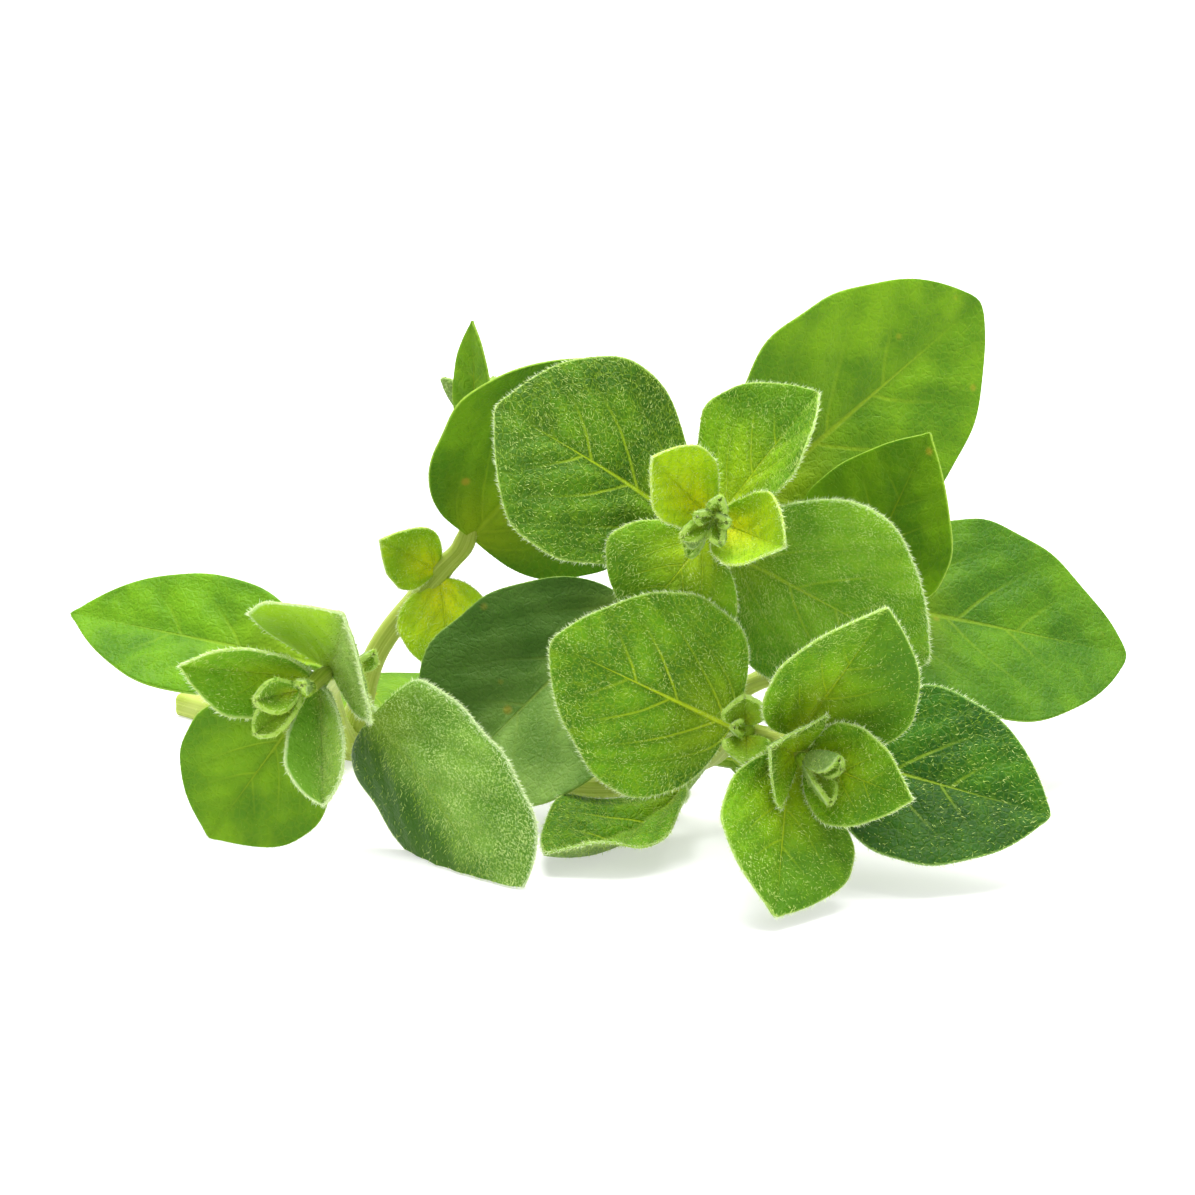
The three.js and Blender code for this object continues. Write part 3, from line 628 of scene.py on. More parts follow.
TONES = {
    "front": tone("#62960a", "#3e6c06", "#b0c81c", "#8eae08", "#a2c05c", 0.45, 0.4, 0.12, 10.0, 1.25),
    # Its darker half is painted shade.
    "mid": tone("#548206", "#305804", "#a6c01c", "#7c9e08", "#a0be5c", 0.4, 0.4, 0.1, 8.5, 1.15,
                bare=0.35, bare_side=1, bare_colour="#325804"),
    "fresh": tone("#70a008", "#447406", "#b0c81a", "#a6c204", "#a6c45e", 0.75, 0.38, 0.08, 8.0, 0.9,
                  tip=0.6),
    # The half of its fold that the light misses is darkened with painted shade.
    "folded": tone("#6ea008", "#447406", "#b0c81a", "#a6c204", "#a6c45e", 0.75, 0.38, 0.08, 8.0, 0.9,
                   tip=0.4, bare=0.55, bare_colour="#3c6808"),
    # One half darkened with painted shade.
    "hanging": tone("#70a008", "#447406", "#b0c81a", "#b2cc06", "#a6c45e", 0.7, 0.38, 0.08, 8.0, 0.9,
                    tip=0.85, bare=0.45, bare_side=1, bare_colour="#3c6a08"),
    "tender": tone("#80ac10", "#5c900a", "#a8c420", "#a4c408", "#b4cc74", 0.8, 0.5, 0.06, 5.0, 0.5),
    "young": tone("#aac80a", "#7aa40c", "#c4d412", "#dcdc04", "#b4cc62", 0.85, 0.34, 0.14, 9.0, 0.7),
    "bud": tone("#86aa20", "#5a8812", "#9cba34", "#a2b412", "#a4c25c", 0.7, 0.14, 0.18, 10.0, 0.3),
    # Its balder half is darkened with painted shade as well.
    "silver": tone("#729c38", "#4c7a20", "#8cac3e", "#7a9a20", "#b8cc92", 0.3, 0.5, 0.58, 18.0, 0.5,
                   bare=0.93, bare_colour="#244c06"),
    "pale": tone("#8fb444", "#6c962c", "#a2c04a", "#9aba34", "#bcd094", 0.3, 0.5, 0.6, 20.0, 0.4,
                 bare=0.9, bare_side=1, bare_colour="#94bc0a"),
    "strip": tone("#86ae44", "#648e2c", "#9cba4a", "#8cb02a", "#bcd094", 0.3, 0.5, 0.5, 16.0, 0.4,
                  bare=0.9, bare_colour="#5c8e18"),
    "soft": tone("#7cac24", "#568a16", "#a8c434", "#8aaa18", "#aac66e", 0.4, 0.45, 0.24, 14.0, 1.0),
    # This leaf faces down, away from the light: its darker greens and its still darker half are painted
    # shade.
    "deep": tone("#366a08", "#1e4c04", "#98b628", "#48720a", "#84a654", 0.3, 0.38, 0.03, 3.8, 0.85,
                 bare=0.6, bare_colour="#143404"),
    "smooth": tone("#6c960c", "#4c780a", "#98b020", "#8ca40e", "#90b03c", 0.45, 0.2, 0.0, 1.2, 0.6,
                   spots=0.7),
    "mild": tone("#66960a", "#467408", "#8cac20", "#88aa0c", "#84a838", 0.5, 0.2, 0.0, 1.2, 0.5, spots=0.5),
    "dull": tone("#54800a", "#386408", "#84a01c", "#84a010", "#80a038", 0.4, 0.2, 0.0, 1.2, 0.6, spots=0.5),
    # The darker colour on one half of this leaf is painted shade, where other leaves shade it.
    "shade": tone("#8aac54", "#628838", "#8ea43e", "#6c8820", "#92ae54", 0.3, 0.26, 0.2, 1.5, 0.6,
                  spots=0.5, bare=1.0, bare_colour="#2e520c"),
}
UNDERSIDE = dict(light="#7c9a48", dark="#62823a", vein="#9bb262", foot="#8ea84a", spread=0.5, rim="#a8c07a",
                 rim_width=0.4, down=0.5)
SPOT = "#a8902a"
DOWN = "#b4cb84"
# Sizes of the leaf's pattern, in millimetres.
PATCH = 7  # its lighter and darker patches, and the sway of its veins
FADING = 5  # over which veins and down come and go
NET = 0.9  # cells between its finest veins
TUFT = 0.28  # tufts of down, coarser than real ones, which are too fine to show
SPOT_SPACING = 6.5
PEBBLES = (0.4, 1.3)  # fine and coarse swellings of its skin
GLOSS_PATCH = 1.6
RIM_FRAY = 0.6
FRAYING = 0.2  # how unevenly the rim ends
RIM_START = 0.1  # nearer to the margin than this, it is at its full strength
SKIN_RELIEF = 0.2
# Shares of the blade's length: how far veins sway, half the width of lateral veins, from sharp to faded,
# and that of the midrib at its foot and its tip.
SWAY = 0.045
VEIN_EDGE = (0.002, 0.0095)
RIB_FOOT = 0.017
RIB_TIP = 0.004
VALLEY_SHADE_EDGE = (0.0, 0.05)  # from a vein, the width of the painted shade in the valley along it
# More of them: where along the blade veins and colours change.
RIB_NARROWS = (0.0, 0.7)
RIB_ENDS = (0.5, 0.95)
LATERAL_ENDS = (0.45, 0.85)
TIP_DARKENS = (0.45, 1.0)
# The same across it, as shares of its half width.
LATERAL_TO_MARGIN = (0.15, 0.85)
FOOT_TO_MARGIN = (0.1, 0.9)
RIB_EDGE = (0.3, 1.2)  # from sharp to faded, in half widths of the midrib
STEEP = 0.55  # how much the slope of a lateral vein widens it along the blade
# Between which values a pattern changes.
PATCH_RANGE = (0.34, 0.68)
TUFT_RANGE = (0.5, 0.72)
DOWN_RANGE = (0.3, 0.7)
LATERAL_RANGE = (0.35, 0.6)
NET_EDGE = (0.0, 0.16)  # from a cell's border
SPOT_EDGE = (0.03, 0.12)  # from its middle
# What is left of the down and the lateral veins where they fade.
LEAST_DOWN = 0.5
LEAST_LATERAL = 0.6
# How well a colour covers what it is laid on, up to 1.
NET_COVER = 0.4
FOOT_COVER = 0.8
# Painted shade in the valley along each vein.
VALLEY_SHADE_COVER = 0.35
VEIN_COVER = 0.8
# One half's other colour, on some leaves painted shade.
BARE_AND_SHADE_COVER = 0.8
RIM_COVER = 0.75
# Strengths of the lateral veins and the net, where the midrib's is 1.
LATERAL = 0.75
NET_STRENGTH = 0.35
GLOSS = (0.25, 0.42)  # how much its roughness changes, and the least of it
PEBBLE_SHARES = (0.8, 1.2)  # of the fine and the coarse ones in its relief
LEAF_BUMP = 0.9

LEAF_TISSUE = dict(
    Specular_IOR_Level=0.15,
    Subsurface_Weight=0.25,
    Subsurface_Scale=MM,
    Sheen_Weight=0.03,
    Sheen_Roughness=0.45,
    Sheen_Tint=linear("#b9d070"),
)
STEM_TISSUE = dict(
    Roughness=0.5,
    Specular_IOR_Level=0.3,
    Subsurface_Weight=0.3,
    Subsurface_Scale=MM,
    Sheen_Weight=0.05,
    Sheen_Tint=linear("#dfe8a0"),
)
# The stem's and the pith's patterns in millimetres, their ranges and strengths as above. The streaks are
# how often they change round the stem and over a centimetre of it.
STREAKS_AROUND = 40
STREAKS_ALONG = 0.3
STEM_PATCH = 6
STEM_GRAIN = 0.5
STEM_RELIEF = 0.12
STREAK_RANGE = (0.35, 0.7)
PALER_RANGE = (0.45, 0.75)
PALER_COVER = 0.5
GRAIN_SHARE = 0.4
STEM_BUMP = 0.7
STEM_DARK, STEM_LIGHT, STEM_PALE = (linear(colour) for colour in ("#8ea232", "#acbb50", "#b8c46a"))
PORE = 0.22
PITH_PATCH = 0.8
PITH_RELIEF = 0.05
PORE_EDGE = (0.1, 0.5)
PORE_COVER = 0.4
PITH_RANGE = (0.4, 0.7)
PITH_BUMP = 0.8
PITH_LIGHT, PITH_DARK, PITH_GREEN = (linear(colour) for colour in ("#b6c678", "#84984a", "#9fb45c"))
HAIR_PATCH = 2
HAIR_RANGE = (0.35, 0.65)
RIM_COAT = (14.5, 30.0)  # hairs on a square millimetre, from a face's to a rim's
# The coat's tree takes these, with the density in hairs for each square metre.
COAT_INPUTS = {"Geometry": "Geometry", "Density": "Float", "Length": "Float", "Thickness": "Float",
               "Stand": "Float", "Seed": "Int", "Material": "Material"}
HAIR_COLOURS = {
    "Leaf hair": ("#9cc034", "#d2e684", "#deebbe"),
    "Sparse leaf hair": ("#6f9a26", "#84aa3a", "#a9c66c"),
}


def vein_masks(add, where, along, signed, share, fading):
    """Midrib, lateral veins and the gap to the nearest of them. The veins are those of vein_gap."""
    across = add(MATH, (signed,), **AMOUNT)
    stray = add(MATH, (add(NOISE, sized(where, PATCH)), 0.5), **MINUS)
    place = add(MATH, (stray, SWAY, along), **TIMES_PLUS)
    shift = add(MATH, (add(MATH, (signed, 0.0), operation="GREATER_THAN"), SIDE_SHIFT), **TIMES)
    gap = 1.0
    for start, slant, curve in VEINS:
        bend = add(MATH, (across, curve, slant), **TIMES_PLUS)
        course = add(MATH, (across, bend, start), **TIMES_PLUS)
        if start > 0:
            course = add(MATH, (course, shift), **PLUS)
        ahead = add(MATH, (add(MATH, (place, course), **MINUS),), **AMOUNT)
        # Nearly the root of 1 and the slope squared.
        steep = add(MATH, (add(MATH, (bend,), **AMOUNT), STEEP, 1.0), **TIMES_PLUS)
        gap = add(MATH, (gap, add(MATH, (ahead, steep), **OVER)), **SMALLER)
    lateral = add(RANGE, (gap, *VEIN_EDGE, LATERAL, 0.0), **SOFT)
    for changing, *fade in (
        (share, *LATERAL_TO_MARGIN, 1.0, 0.0),
        (along, *LATERAL_ENDS, 1.0, 0.0),
        (fading, *LATERAL_RANGE, LEAST_LATERAL, 1.0),
    ):
        lateral = add(MATH, (lateral, add(RANGE, (changing, *fade), **SOFT)), **TIMES)
    width = add(RANGE, (along, *RIB_NARROWS, RIB_FOOT, RIB_TIP), **SOFT)
    midrib = add(RANGE, (add(MATH, (across, width), **OVER), *RIB_EDGE, 1.0, 0.0), **SOFT)
    midrib = add(MATH, (midrib, add(RANGE, (along, *RIB_ENDS, 1.0, 0.0), **SOFT)), **TIMES)
    return midrib, lateral, add(MATH, (gap, across), **SMALLER)


def leaf_finish(name, light, dark, vein, foot, rim, spread, rim_width, down, plain=1.0, spots=0.0, tip=0.0,
                bare=0.0, bare_side=-1, bare_colour=None, under=False, **_):
    """Living leaf tissue: it lets some light through and has no clear gloss, because its down scatters
    what it reflects. The eye sees soft patches, paler veins in valleys darkened with painted shade, a pale
    foot and a hairy rim; on some leaves one half is darkened with painted shade."""
    material, add = new_material(name, Subsurface_Radius=(0.8, 1.2, 0.25), **LEAF_TISSUE)
    where = add("ShaderNodeTexCoord", output="Object")
    along, height = add(PARTS, [add("ShaderNodeUVMap", uv_map="blade")]).node.outputs[:2]
    share, edge = add(PARTS, [add("ShaderNodeUVMap", uv_map="share")]).node.outputs[:2]
    signed = add(MATH, (height, 0.5), **MINUS)
    fading = add(NOISE, sized(where, FADING))
    midrib, lateral, gap = vein_masks(add, where, along, signed, share, fading)
    veins = add(MATH, (add(MATH, (midrib, lateral), **LARGER), plain), **TIMES)
    net = add(CELLS, sized(where, NET), feature="DISTANCE_TO_EDGE")
    net = add(RANGE, (net, *NET_EDGE, NET_STRENGTH * plain, 0.0), **SOFT)
    near_foot = add(RANGE, (along, 0.0, spread, FOOT_COVER, 0.0), **SOFT)
    # Colours laid over the tissue's own, each with its mask.
    layers = [
        (add(MATH, (net, NET_COVER), **TIMES), vein),
        (add(MATH, (near_foot, add(RANGE, (share, *FOOT_TO_MARGIN, 1.0, 0.0), **SOFT)), **TIMES), foot),
        (add(RANGE, (along, *TIP_DARKENS, 0.0, tip), **SOFT), dark),
        # Painted shade in the valley along each vein, where the leaf is sunk.
        (add(RANGE, (gap, *VALLEY_SHADE_EDGE, VALLEY_SHADE_COVER * plain, 0.0), **SOFT), dark),
        (add(MATH, (veins, VEIN_COVER), **TIMES), vein),
    ]
    if down:
        tufts = add(RANGE, (add(NOISE, sized(where, TUFT, Detail=1.0)), *TUFT_RANGE, 0.0, down), **SOFT)
        thick = add(RANGE, (fading, *DOWN_RANGE, LEAST_DOWN, 1.0), **SOFT)
        # One half gets less down and another colour: on some leaves the balder half's own green, on others
        # painted shade on the half that the light misses.
        if bare:
            to_side = add(MATH, (signed, bare_side), **TIMES)
            half = add(RANGE, (to_side, BARE_AND_SHADE_FROM, BARE_AND_SHADE_TO, 0.0, bare), **SOFT)
            layers.append((add(MATH, (half, BARE_AND_SHADE_COVER), **TIMES), bare_colour))
            thick = add(MATH, (thick, add(MATH, (1.0, half), **MINUS)), **TIMES)
        layers.append((add(MATH, (tufts, thick), **TIMES), DOWN))
    if spots:
        dots = add(CELLS, sized(where, SPOT_SPACING))
        layers.append((add(RANGE, (dots, *SPOT_EDGE, spots, 0.0), **SOFT), SPOT))
    frayed = add(MATH, (add(NOISE, sized(where, RIM_FRAY)), FRAYING, edge), **TIMES_PLUS)
    layers.append((add(RANGE, (frayed, RIM_START, rim_width, RIM_COVER, 0.0), **SOFT), rim))
    patches = add(RANGE, (add(NOISE, sized(where, PATCH, Detail=3.0)), *PATCH_RANGE), **SOFT)
    base = add(MIX, {0: patches, 6: linear(dark), 7: linear(light)}, **COLOUR)
    for cover, colour in layers:
        base = add(MIX, {0: cover, 6: base, 7: linear(colour)}, **COLOUR)
    rough = add(MATH, (add(NOISE, sized(where, GLOSS_PATCH)), *GLOSS), **TIMES_PLUS)
    fine, coarse = (add(NOISE, sized(where, size)) for size in PEBBLES)
    coarse = add(MATH, (coarse, PEBBLE_SHARES[1]), **TIMES)
    skin = add(MATH, (fine, PEBBLE_SHARES[0], coarse), **TIMES_PLUS)
    # Veins are sunk on the upper side and raised below.
    raised = add(MATH, (veins, net), **LARGER)
    relief = add(MATH, (raised, 1 if under else -1, skin), **TIMES_PLUS)
    bump = add("ShaderNodeBump", {"Height": relief, "Distance": SKIN_RELIEF * MM, "Strength": LEAF_BUMP})
    dress(material, Base_Color=base, Roughness=rough, Normal=bump)
    return material


def hair_finish(name, dull, bright, rim):
    """Clear hairs filled with sap: they catch the light, in two greens on a leaf's face, and paler where
    they stand close on its rim."""
    material, add = new_material(name, Roughness=0.5, Specular_IOR_Level=0.25)
    where = add("ShaderNodeTexCoord", output="Object")
    mixed = add(RANGE, (add(NOISE, sized(where, HAIR_PATCH)), *HAIR_RANGE), **SOFT)
    face = add(MIX, {0: mixed, 6: linear(dull), 7: linear(bright)}, **COLOUR)
    coat = add("ShaderNodeAttribute", attribute_name="coat", output="Fac")
    close = add(RANGE, (coat, *RIM_COAT), **SOFT)
    dress(material, Base_Color=add(MIX, {0: close, 6: face, 7: linear(rim)}, **COLOUR))
    return material


def stem_finish():
    """Young stem, square and a little waxy: light goes softly through it, and the eye sees fine streaks
    along it and paler patches."""
    material, add = new_material("Green stem", Subsurface_Radius=(0.9, 1.2, 0.4), **STEM_TISSUE)
    where = add("ShaderNodeTexCoord", output="Object")
    around, along = add(PARTS, [add("ShaderNodeUVMap", uv_map="stem")]).node.outputs[:2]
    drawn = (add(MATH, (around, STREAKS_AROUND), **TIMES), add(MATH, (along, STREAKS_ALONG), **TIMES))
    place = add("ShaderNodeCombineXYZ", drawn)
    streaks = add(NOISE, {"Vector": place, "Scale": 1.0, "Detail": 3.0})
    mixed = add(RANGE, (streaks, *STREAK_RANGE), **SOFT)
    base = add(MIX, {0: mixed, 6: STEM_DARK, 7: STEM_LIGHT}, **COLOUR)
    paler = add(RANGE, (add(NOISE, sized(where, STEM_PATCH)), *PALER_RANGE, 0.0, PALER_COVER), **SOFT)
    base = add(MIX, {0: paler, 6: base, 7: STEM_PALE}, **COLOUR)
    relief = add(MATH, (add(NOISE, sized(where, STEM_GRAIN)), GRAIN_SHARE, streaks), **TIMES_PLUS)
    bump = add("ShaderNodeBump", {"Height": relief, "Distance": STEM_RELIEF * MM, "Strength": STEM_BUMP})
    dress(material, Base_Color=base, Normal=bump)
    return material


def cut_finish():
    """The stem's cut end, a pale moist pith: the eye sees fine dark pores and greener patches."""
    material, add = new_material("Cut stem pith", Roughness=0.6, Specular_IOR_Level=0.3)
    where = add("ShaderNodeTexCoord", output="Object")
    pores = add(RANGE, (add(CELLS, sized(where, PORE)), *PORE_EDGE, 1.0, 0.0), **SOFT)
    shaded = add(MATH, (pores, PORE_COVER), **TIMES)
    base = add(MIX, {0: shaded, 6: PITH_LIGHT, 7: PITH_DARK}, **COLOUR)
    greener = add(RANGE, (add(NOISE, sized(where, PITH_PATCH)), *PITH_RANGE), **SOFT)
    base = add(MIX, {0: greener, 6: base, 7: PITH_GREEN}, **COLOUR)
    bump = add("ShaderNodeBump", {"Height": pores, "Distance": PITH_RELIEF * MM, "Strength": PITH_BUMP})
    dress(material, Base_Color=base, Normal=bump)
    return material


def coat_tree():
    """Hairs on a mesh: points on its faces, a small bent spike on each. The mesh's attribute "coat" is
    the hairs on a square millimetre of each face, and "lean" the way they lean."""
    tree = bpy.data.node_groups.new("Hair coat", "GeometryNodeTree")
    for name, kind in COAT_INPUTS.items():
        tree.interface.new_socket(name, in_out="INPUT", socket_type=f"NodeSocket{kind}")
    tree.interface.new_socket("Geometry", in_out="OUTPUT", socket_type="NodeSocketGeometry")
    add = functools.partial(add_node, tree)
    given = tree.nodes.new("NodeGroupInput").outputs
    coat = add("GeometryNodeInputNamedAttribute", {"Name": "coat"}, data_type="FLOAT")
    lean = add("GeometryNodeInputNamedAttribute", {"Name": "lean"}, data_type="FLOAT_VECTOR")
    density = add(MATH, (coat, given["Density"]), **TIMES)
    spread = {"Mesh": given["Geometry"], "Density": density, "Seed": given["Seed"]}
    spots = add("GeometryNodeDistributePointsOnFaces", spread)
    # Each hair leans with its leaf, stands up from it and strays a little.
    stray = {0: (-HAIR_STRAY,) * 3, 1: (HAIR_STRAY,) * 3, "Seed": 3}
    stray = add("FunctionNodeRandomValue", stray, data_type="FLOAT_VECTOR")
    up = {"Vector": spots.node.outputs["Normal"], "Scale": given["Stand"]}
    up = add("ShaderNodeVectorMath", up, operation="SCALE")
    leaning = add("ShaderNodeVectorMath", (up, lean), **PLUS)
    leaning = add("ShaderNodeVectorMath", (leaning, stray), **PLUS)
    turn = add("FunctionNodeAlignRotationToVector", {"Vector": leaning}, axis="Z")
    # One spike of three sides, bent sideways by the square of its height.
    radius = add(MATH, (given["Thickness"], 0.5), **TIMES)
    spike = {"Vertices": 3, "Radius Top": 0.0, "Radius Bottom": radius, "Depth": given["Length"]}
    spike = add("GeometryNodeMeshCone", spike, fill_type="NONE")
    height = add(PARTS, [add("GeometryNodeInputPosition")], output=2)
    bend = add(MATH, (add(MATH, (height, given["Length"]), **OVER), height), **TIMES)
    bend = add("ShaderNodeCombineXYZ", [add(MATH, (bend, HAIR_BEND), **TIMES)])
    spike = add("GeometryNodeSetPosition", {"Geometry": spike, "Offset": bend})
    size = {2: HAIR_SHORTEST, 3: HAIR_LONGEST, "Seed": 5}
    size = add("FunctionNodeRandomValue", size, 1, data_type="FLOAT")
    hairs = {"Points": spots, "Instance": spike, "Rotation": turn, "Scale": size}
    hairs = add("GeometryNodeInstanceOnPoints", hairs)
    spin = add("FunctionNodeRandomValue", {2: 0.0, 3: 2 * math.pi, "Seed": 7}, 1, data_type="FLOAT")
    spin = add("ShaderNodeCombineXYZ", {2: spin})
    hairs = add("GeometryNodeRotateInstances", {"Instances": hairs, "Rotation": spin})
    hairs = add("GeometryNodeRealizeInstances", {"Geometry": hairs})
    hairs = add("GeometryNodeSetMaterial", {"Geometry": hairs, "Material": given["Material"]})
    tree.links.new(hairs, tree.nodes.new("NodeGroupOutput").inputs[0])
    return tree


def hair_piece(base, seed, length, thick, stand, material):
    """The hairs of a piece as a plain mesh of their own."""
    modifier = base.modifiers.new("Hairs", "NODES")
    modifier.node_group = TREE
    sockets = {item.name: item.identifier for item in TREE.interface.items_tree if item.in_out == "INPUT"}
    sizes = {"Density": MM**-2, "Length": length * MM, "Thickness": thick * MM, "Stand": stand}
    for key, value in {**sizes, "Seed": seed, "Material": HAIRS[material]}.items():
        modifier[sockets[key]] = value
    view = bpy.context.evaluated_depsgraph_get()
    mesh = bpy.data.meshes.new_from_object(base.evaluated_get(view))
    base.modifiers.remove(modifier)
    # Hairs are pressed flat where they meet the surface.
    spots = np.empty(3 * len(mesh.vertices), dtype=np.float32)
    mesh.vertices.foreach_get("co", spots)
    spots[2::3] = np.maximum(spots[2::3], 0)
    mesh.vertices.foreach_set("co", spots)
    if "lean" in mesh.attributes:
        mesh.attributes.remove(mesh.attributes["lean"])
    made = bpy.data.objects.new(f"{base.name}_hairs", mesh)
    bpy.context.scene.collection.objects.link(made)
    return made


def stem_line(nodes):
    """Points about a STEM_STEP apart on the smooth line through a stem's nodes, how far along it each of
    them is, and how far along each node is."""
    p = np.array(list(nodes.values()), dtype=float)
    p = np.vstack([2 * p[0] - p[1], p, 2 * p[-1] - p[-2]])
    pieces = []
    share = np.linspace(0, 1, FINE_STEPS, endpoint=False)[:, None]
    for x0, x1, x2, x3 in zip(p, p[1:], p[2:], p[3:]):
        d0, d1, d2 = (math.sqrt(np.linalg.norm(b - a)) for a, b in ((x0, x1), (x1, x2), (x2, x3)))
        out = ((x1 - x0) / d0 - (x2 - x0) / (d0 + d1) + (x2 - x1) / d1) * d1
        back = ((x2 - x1) / d1 - (x3 - x1) / (d1 + d2) + (x3 - x2) / d2) * d1
        square, cube = 3 * (x2 - x1) - 2 * out - back, 2 * (x1 - x2) + out + back
        pieces.append(x1 + out * share + square * share**2 + cube * share**3)
    line = np.vstack([*pieces, p[-2:-1]])
    gone = np.concatenate([[0], np.cumsum(np.linalg.norm(np.diff(line, axis=0), axis=1))])
    at = np.linspace(0, gone[-1], max(4, round(gone[-1] / STEM_STEP)) + 1)
    points = np.stack([np.interp(at, gone, line[:, k]) for k in range(3)], -1)
    return points, at, dict(zip(nodes, gone[::FINE_STEPS]))


def stem_course(name, stem):
    """The middle of each ring of a stem's points and its half width there, thicker where leaves sit."""
    points, gone, places = stem_line(stem["nodes"])
    half = np.interp(gone, [0, gone[-1]], stem["half"])
    for node, place in places.items():
        if node[-1].isdigit():
            half = half + NODE_SWELL * half * np.exp(-(((gone - place) / NODE_REACH) ** 2))
    if name != "main":
        # The foot of a side stem goes on into the main stem and widens there.
        main, _, _ = stem_line(STEMS["main"]["nodes"])
        into = main[np.argmin(np.linalg.norm(main - points[0], axis=1))]
        feet = np.linspace(into, points[0], FOOT_RINGS + 2)[1:-1]
        half = half * (1 + FOOT_WIDER * np.exp(-((gone / FOOT_REACH) ** 2)))
        points = np.vstack([feet, points])
        half = np.concatenate([np.full(FOOT_RINGS, half[0]), half])
    # The tip is rounded off.
    ahead = unit(points[-1] - points[-2])
    points = np.vstack([points, *[points[-1] + ahead * past for past, _ in TIP_RINGS]])
    half = np.concatenate([half, half[-1] * np.array([wide for _, wide in TIP_RINGS])])
    return points, half


def stem_piece(name, stem):
    """A square stem with blunt corners and shallow grooved sides."""
    points, half = stem_course(name, stem)
    along = unit(np.gradient(points, axis=0))
    side = unit(np.cross(np.array(stem["level"], dtype=float), along))
    up = np.cross(along, side)
    around = np.linspace(0, 2 * math.pi, STEM_SIDES, endpoint=False)
    c, s = np.abs(np.cos(around)), np.abs(np.sin(around))
    reach = (c**STEM_SQUARE + s**STEM_SQUARE) ** (-1 / STEM_SQUARE)
    reach *= 1 - SIDE_GROOVE * np.cos(2 * around) ** GROOVE_POWER
    rng = np.random.default_rng(STEM_SEED)
    knots = np.arange(0, len(points) + 2 * UNEVEN_EVERY + 1, UNEVEN_EVERY)
    swell = 1 + STEM_UNEVEN * np.interp(np.arange(len(points)), knots, rng.normal(size=len(knots)))
    radius = reach[None, :] * (half * swell)[:, None]
    ring = (points[:, None, :] + side[:, None, :] * (radius * np.cos(around))[..., None]
            + up[:, None, :] * (radius * np.sin(around))[..., None])
    rows, count = radius.shape
    vertices = ring.reshape(-1, 3)
    index = np.arange(rows * count).reshape(rows, count)
    following = np.roll(index, -1, axis=1)
    faces = np.stack([index[:-1], following[:-1], following[1:], index[1:]], -1).reshape(-1, 4).tolist()
    wall = len(faces)
    length = np.concatenate([[0], np.cumsum(np.linalg.norm(np.diff(points, axis=0), axis=1))])
    turn = around / (2 * math.pi)
    uv = np.stack(np.broadcast_arrays(turn[None, :], length[:, None] / UV_LENGTH), -1).reshape(-1, 2)
    # Both ends close on rings of their own, so that the cut keeps a sharp edge.
    for end, closing, depth in ((0, CUT_CLOSING, CUT_DEPTH), (rows - 1, TIP_CLOSING, 0)):
        inner = len(vertices)
        centre = points[end] + depth * along[end]
        rings = [centre + (ring[end] - points[end]) * k + (points[end] - centre) * k**CLOSING_SWELL
                 for k in closing]
        vertices = np.vstack([vertices, *rings, centre[None]])
        uv = np.vstack([uv, *[np.stack([turn, np.full(count, k)], -1) for k in closing], [[0.5, 0.0]]])
        loops = [inner + k * count + np.arange(count) for k in range(len(closing))]
        if end:
            loops = [index[end], *loops]
        for outer, nearer in zip(loops, loops[1:]):
            quads = np.stack([outer, nearer, np.roll(nearer, -1), np.roll(outer, -1)], -1)
            faces += quads.tolist() if end == 0 else quads[:, ::-1].tolist()
        last, hub = loops[-1], inner + len(closing) * count
        fan = np.stack([last, np.full(count, hub), np.roll(last, -1)], -1)
        faces += fan.tolist() if end == 0 else fan[:, ::-1].tolist()
    vertices[:, 2] = np.maximum(vertices[:, 2], STEM_LOWEST)
    material_of = np.zeros(len(faces), dtype=int)
    if name == "main":
        # Only this stem is cut, and its cut comes right after its wall.
        material_of[wall : wall + len(CUT_CLOSING) * count] = 1
    piece = mesh_object(f"{name}_stem_skin", vertices, faces, material_of, [STEM, CUT])
    set_uv(piece.data, "stem", uv)
    lean = np.zeros((len(vertices), 3))
    lean[: rows * count] = np.repeat(along, count, axis=0) * STEM_LEAN
    outward_faces(piece)
    set_attribute(piece.data, "lean", lean, "FLOAT_VECTOR")
    set_attribute(piece.data, "coat", np.arange(len(faces)) < wall, "FLOAT", "FACE")
    return piece


def outward_faces(piece):
    """Turns the faces of a closed mesh so that all of them look out."""
    work = bmesh.new()
    work.from_mesh(piece.data)
    bmesh.ops.recalc_face_normals(work, faces=work.faces)
    work.to_mesh(piece.data)
    work.free()


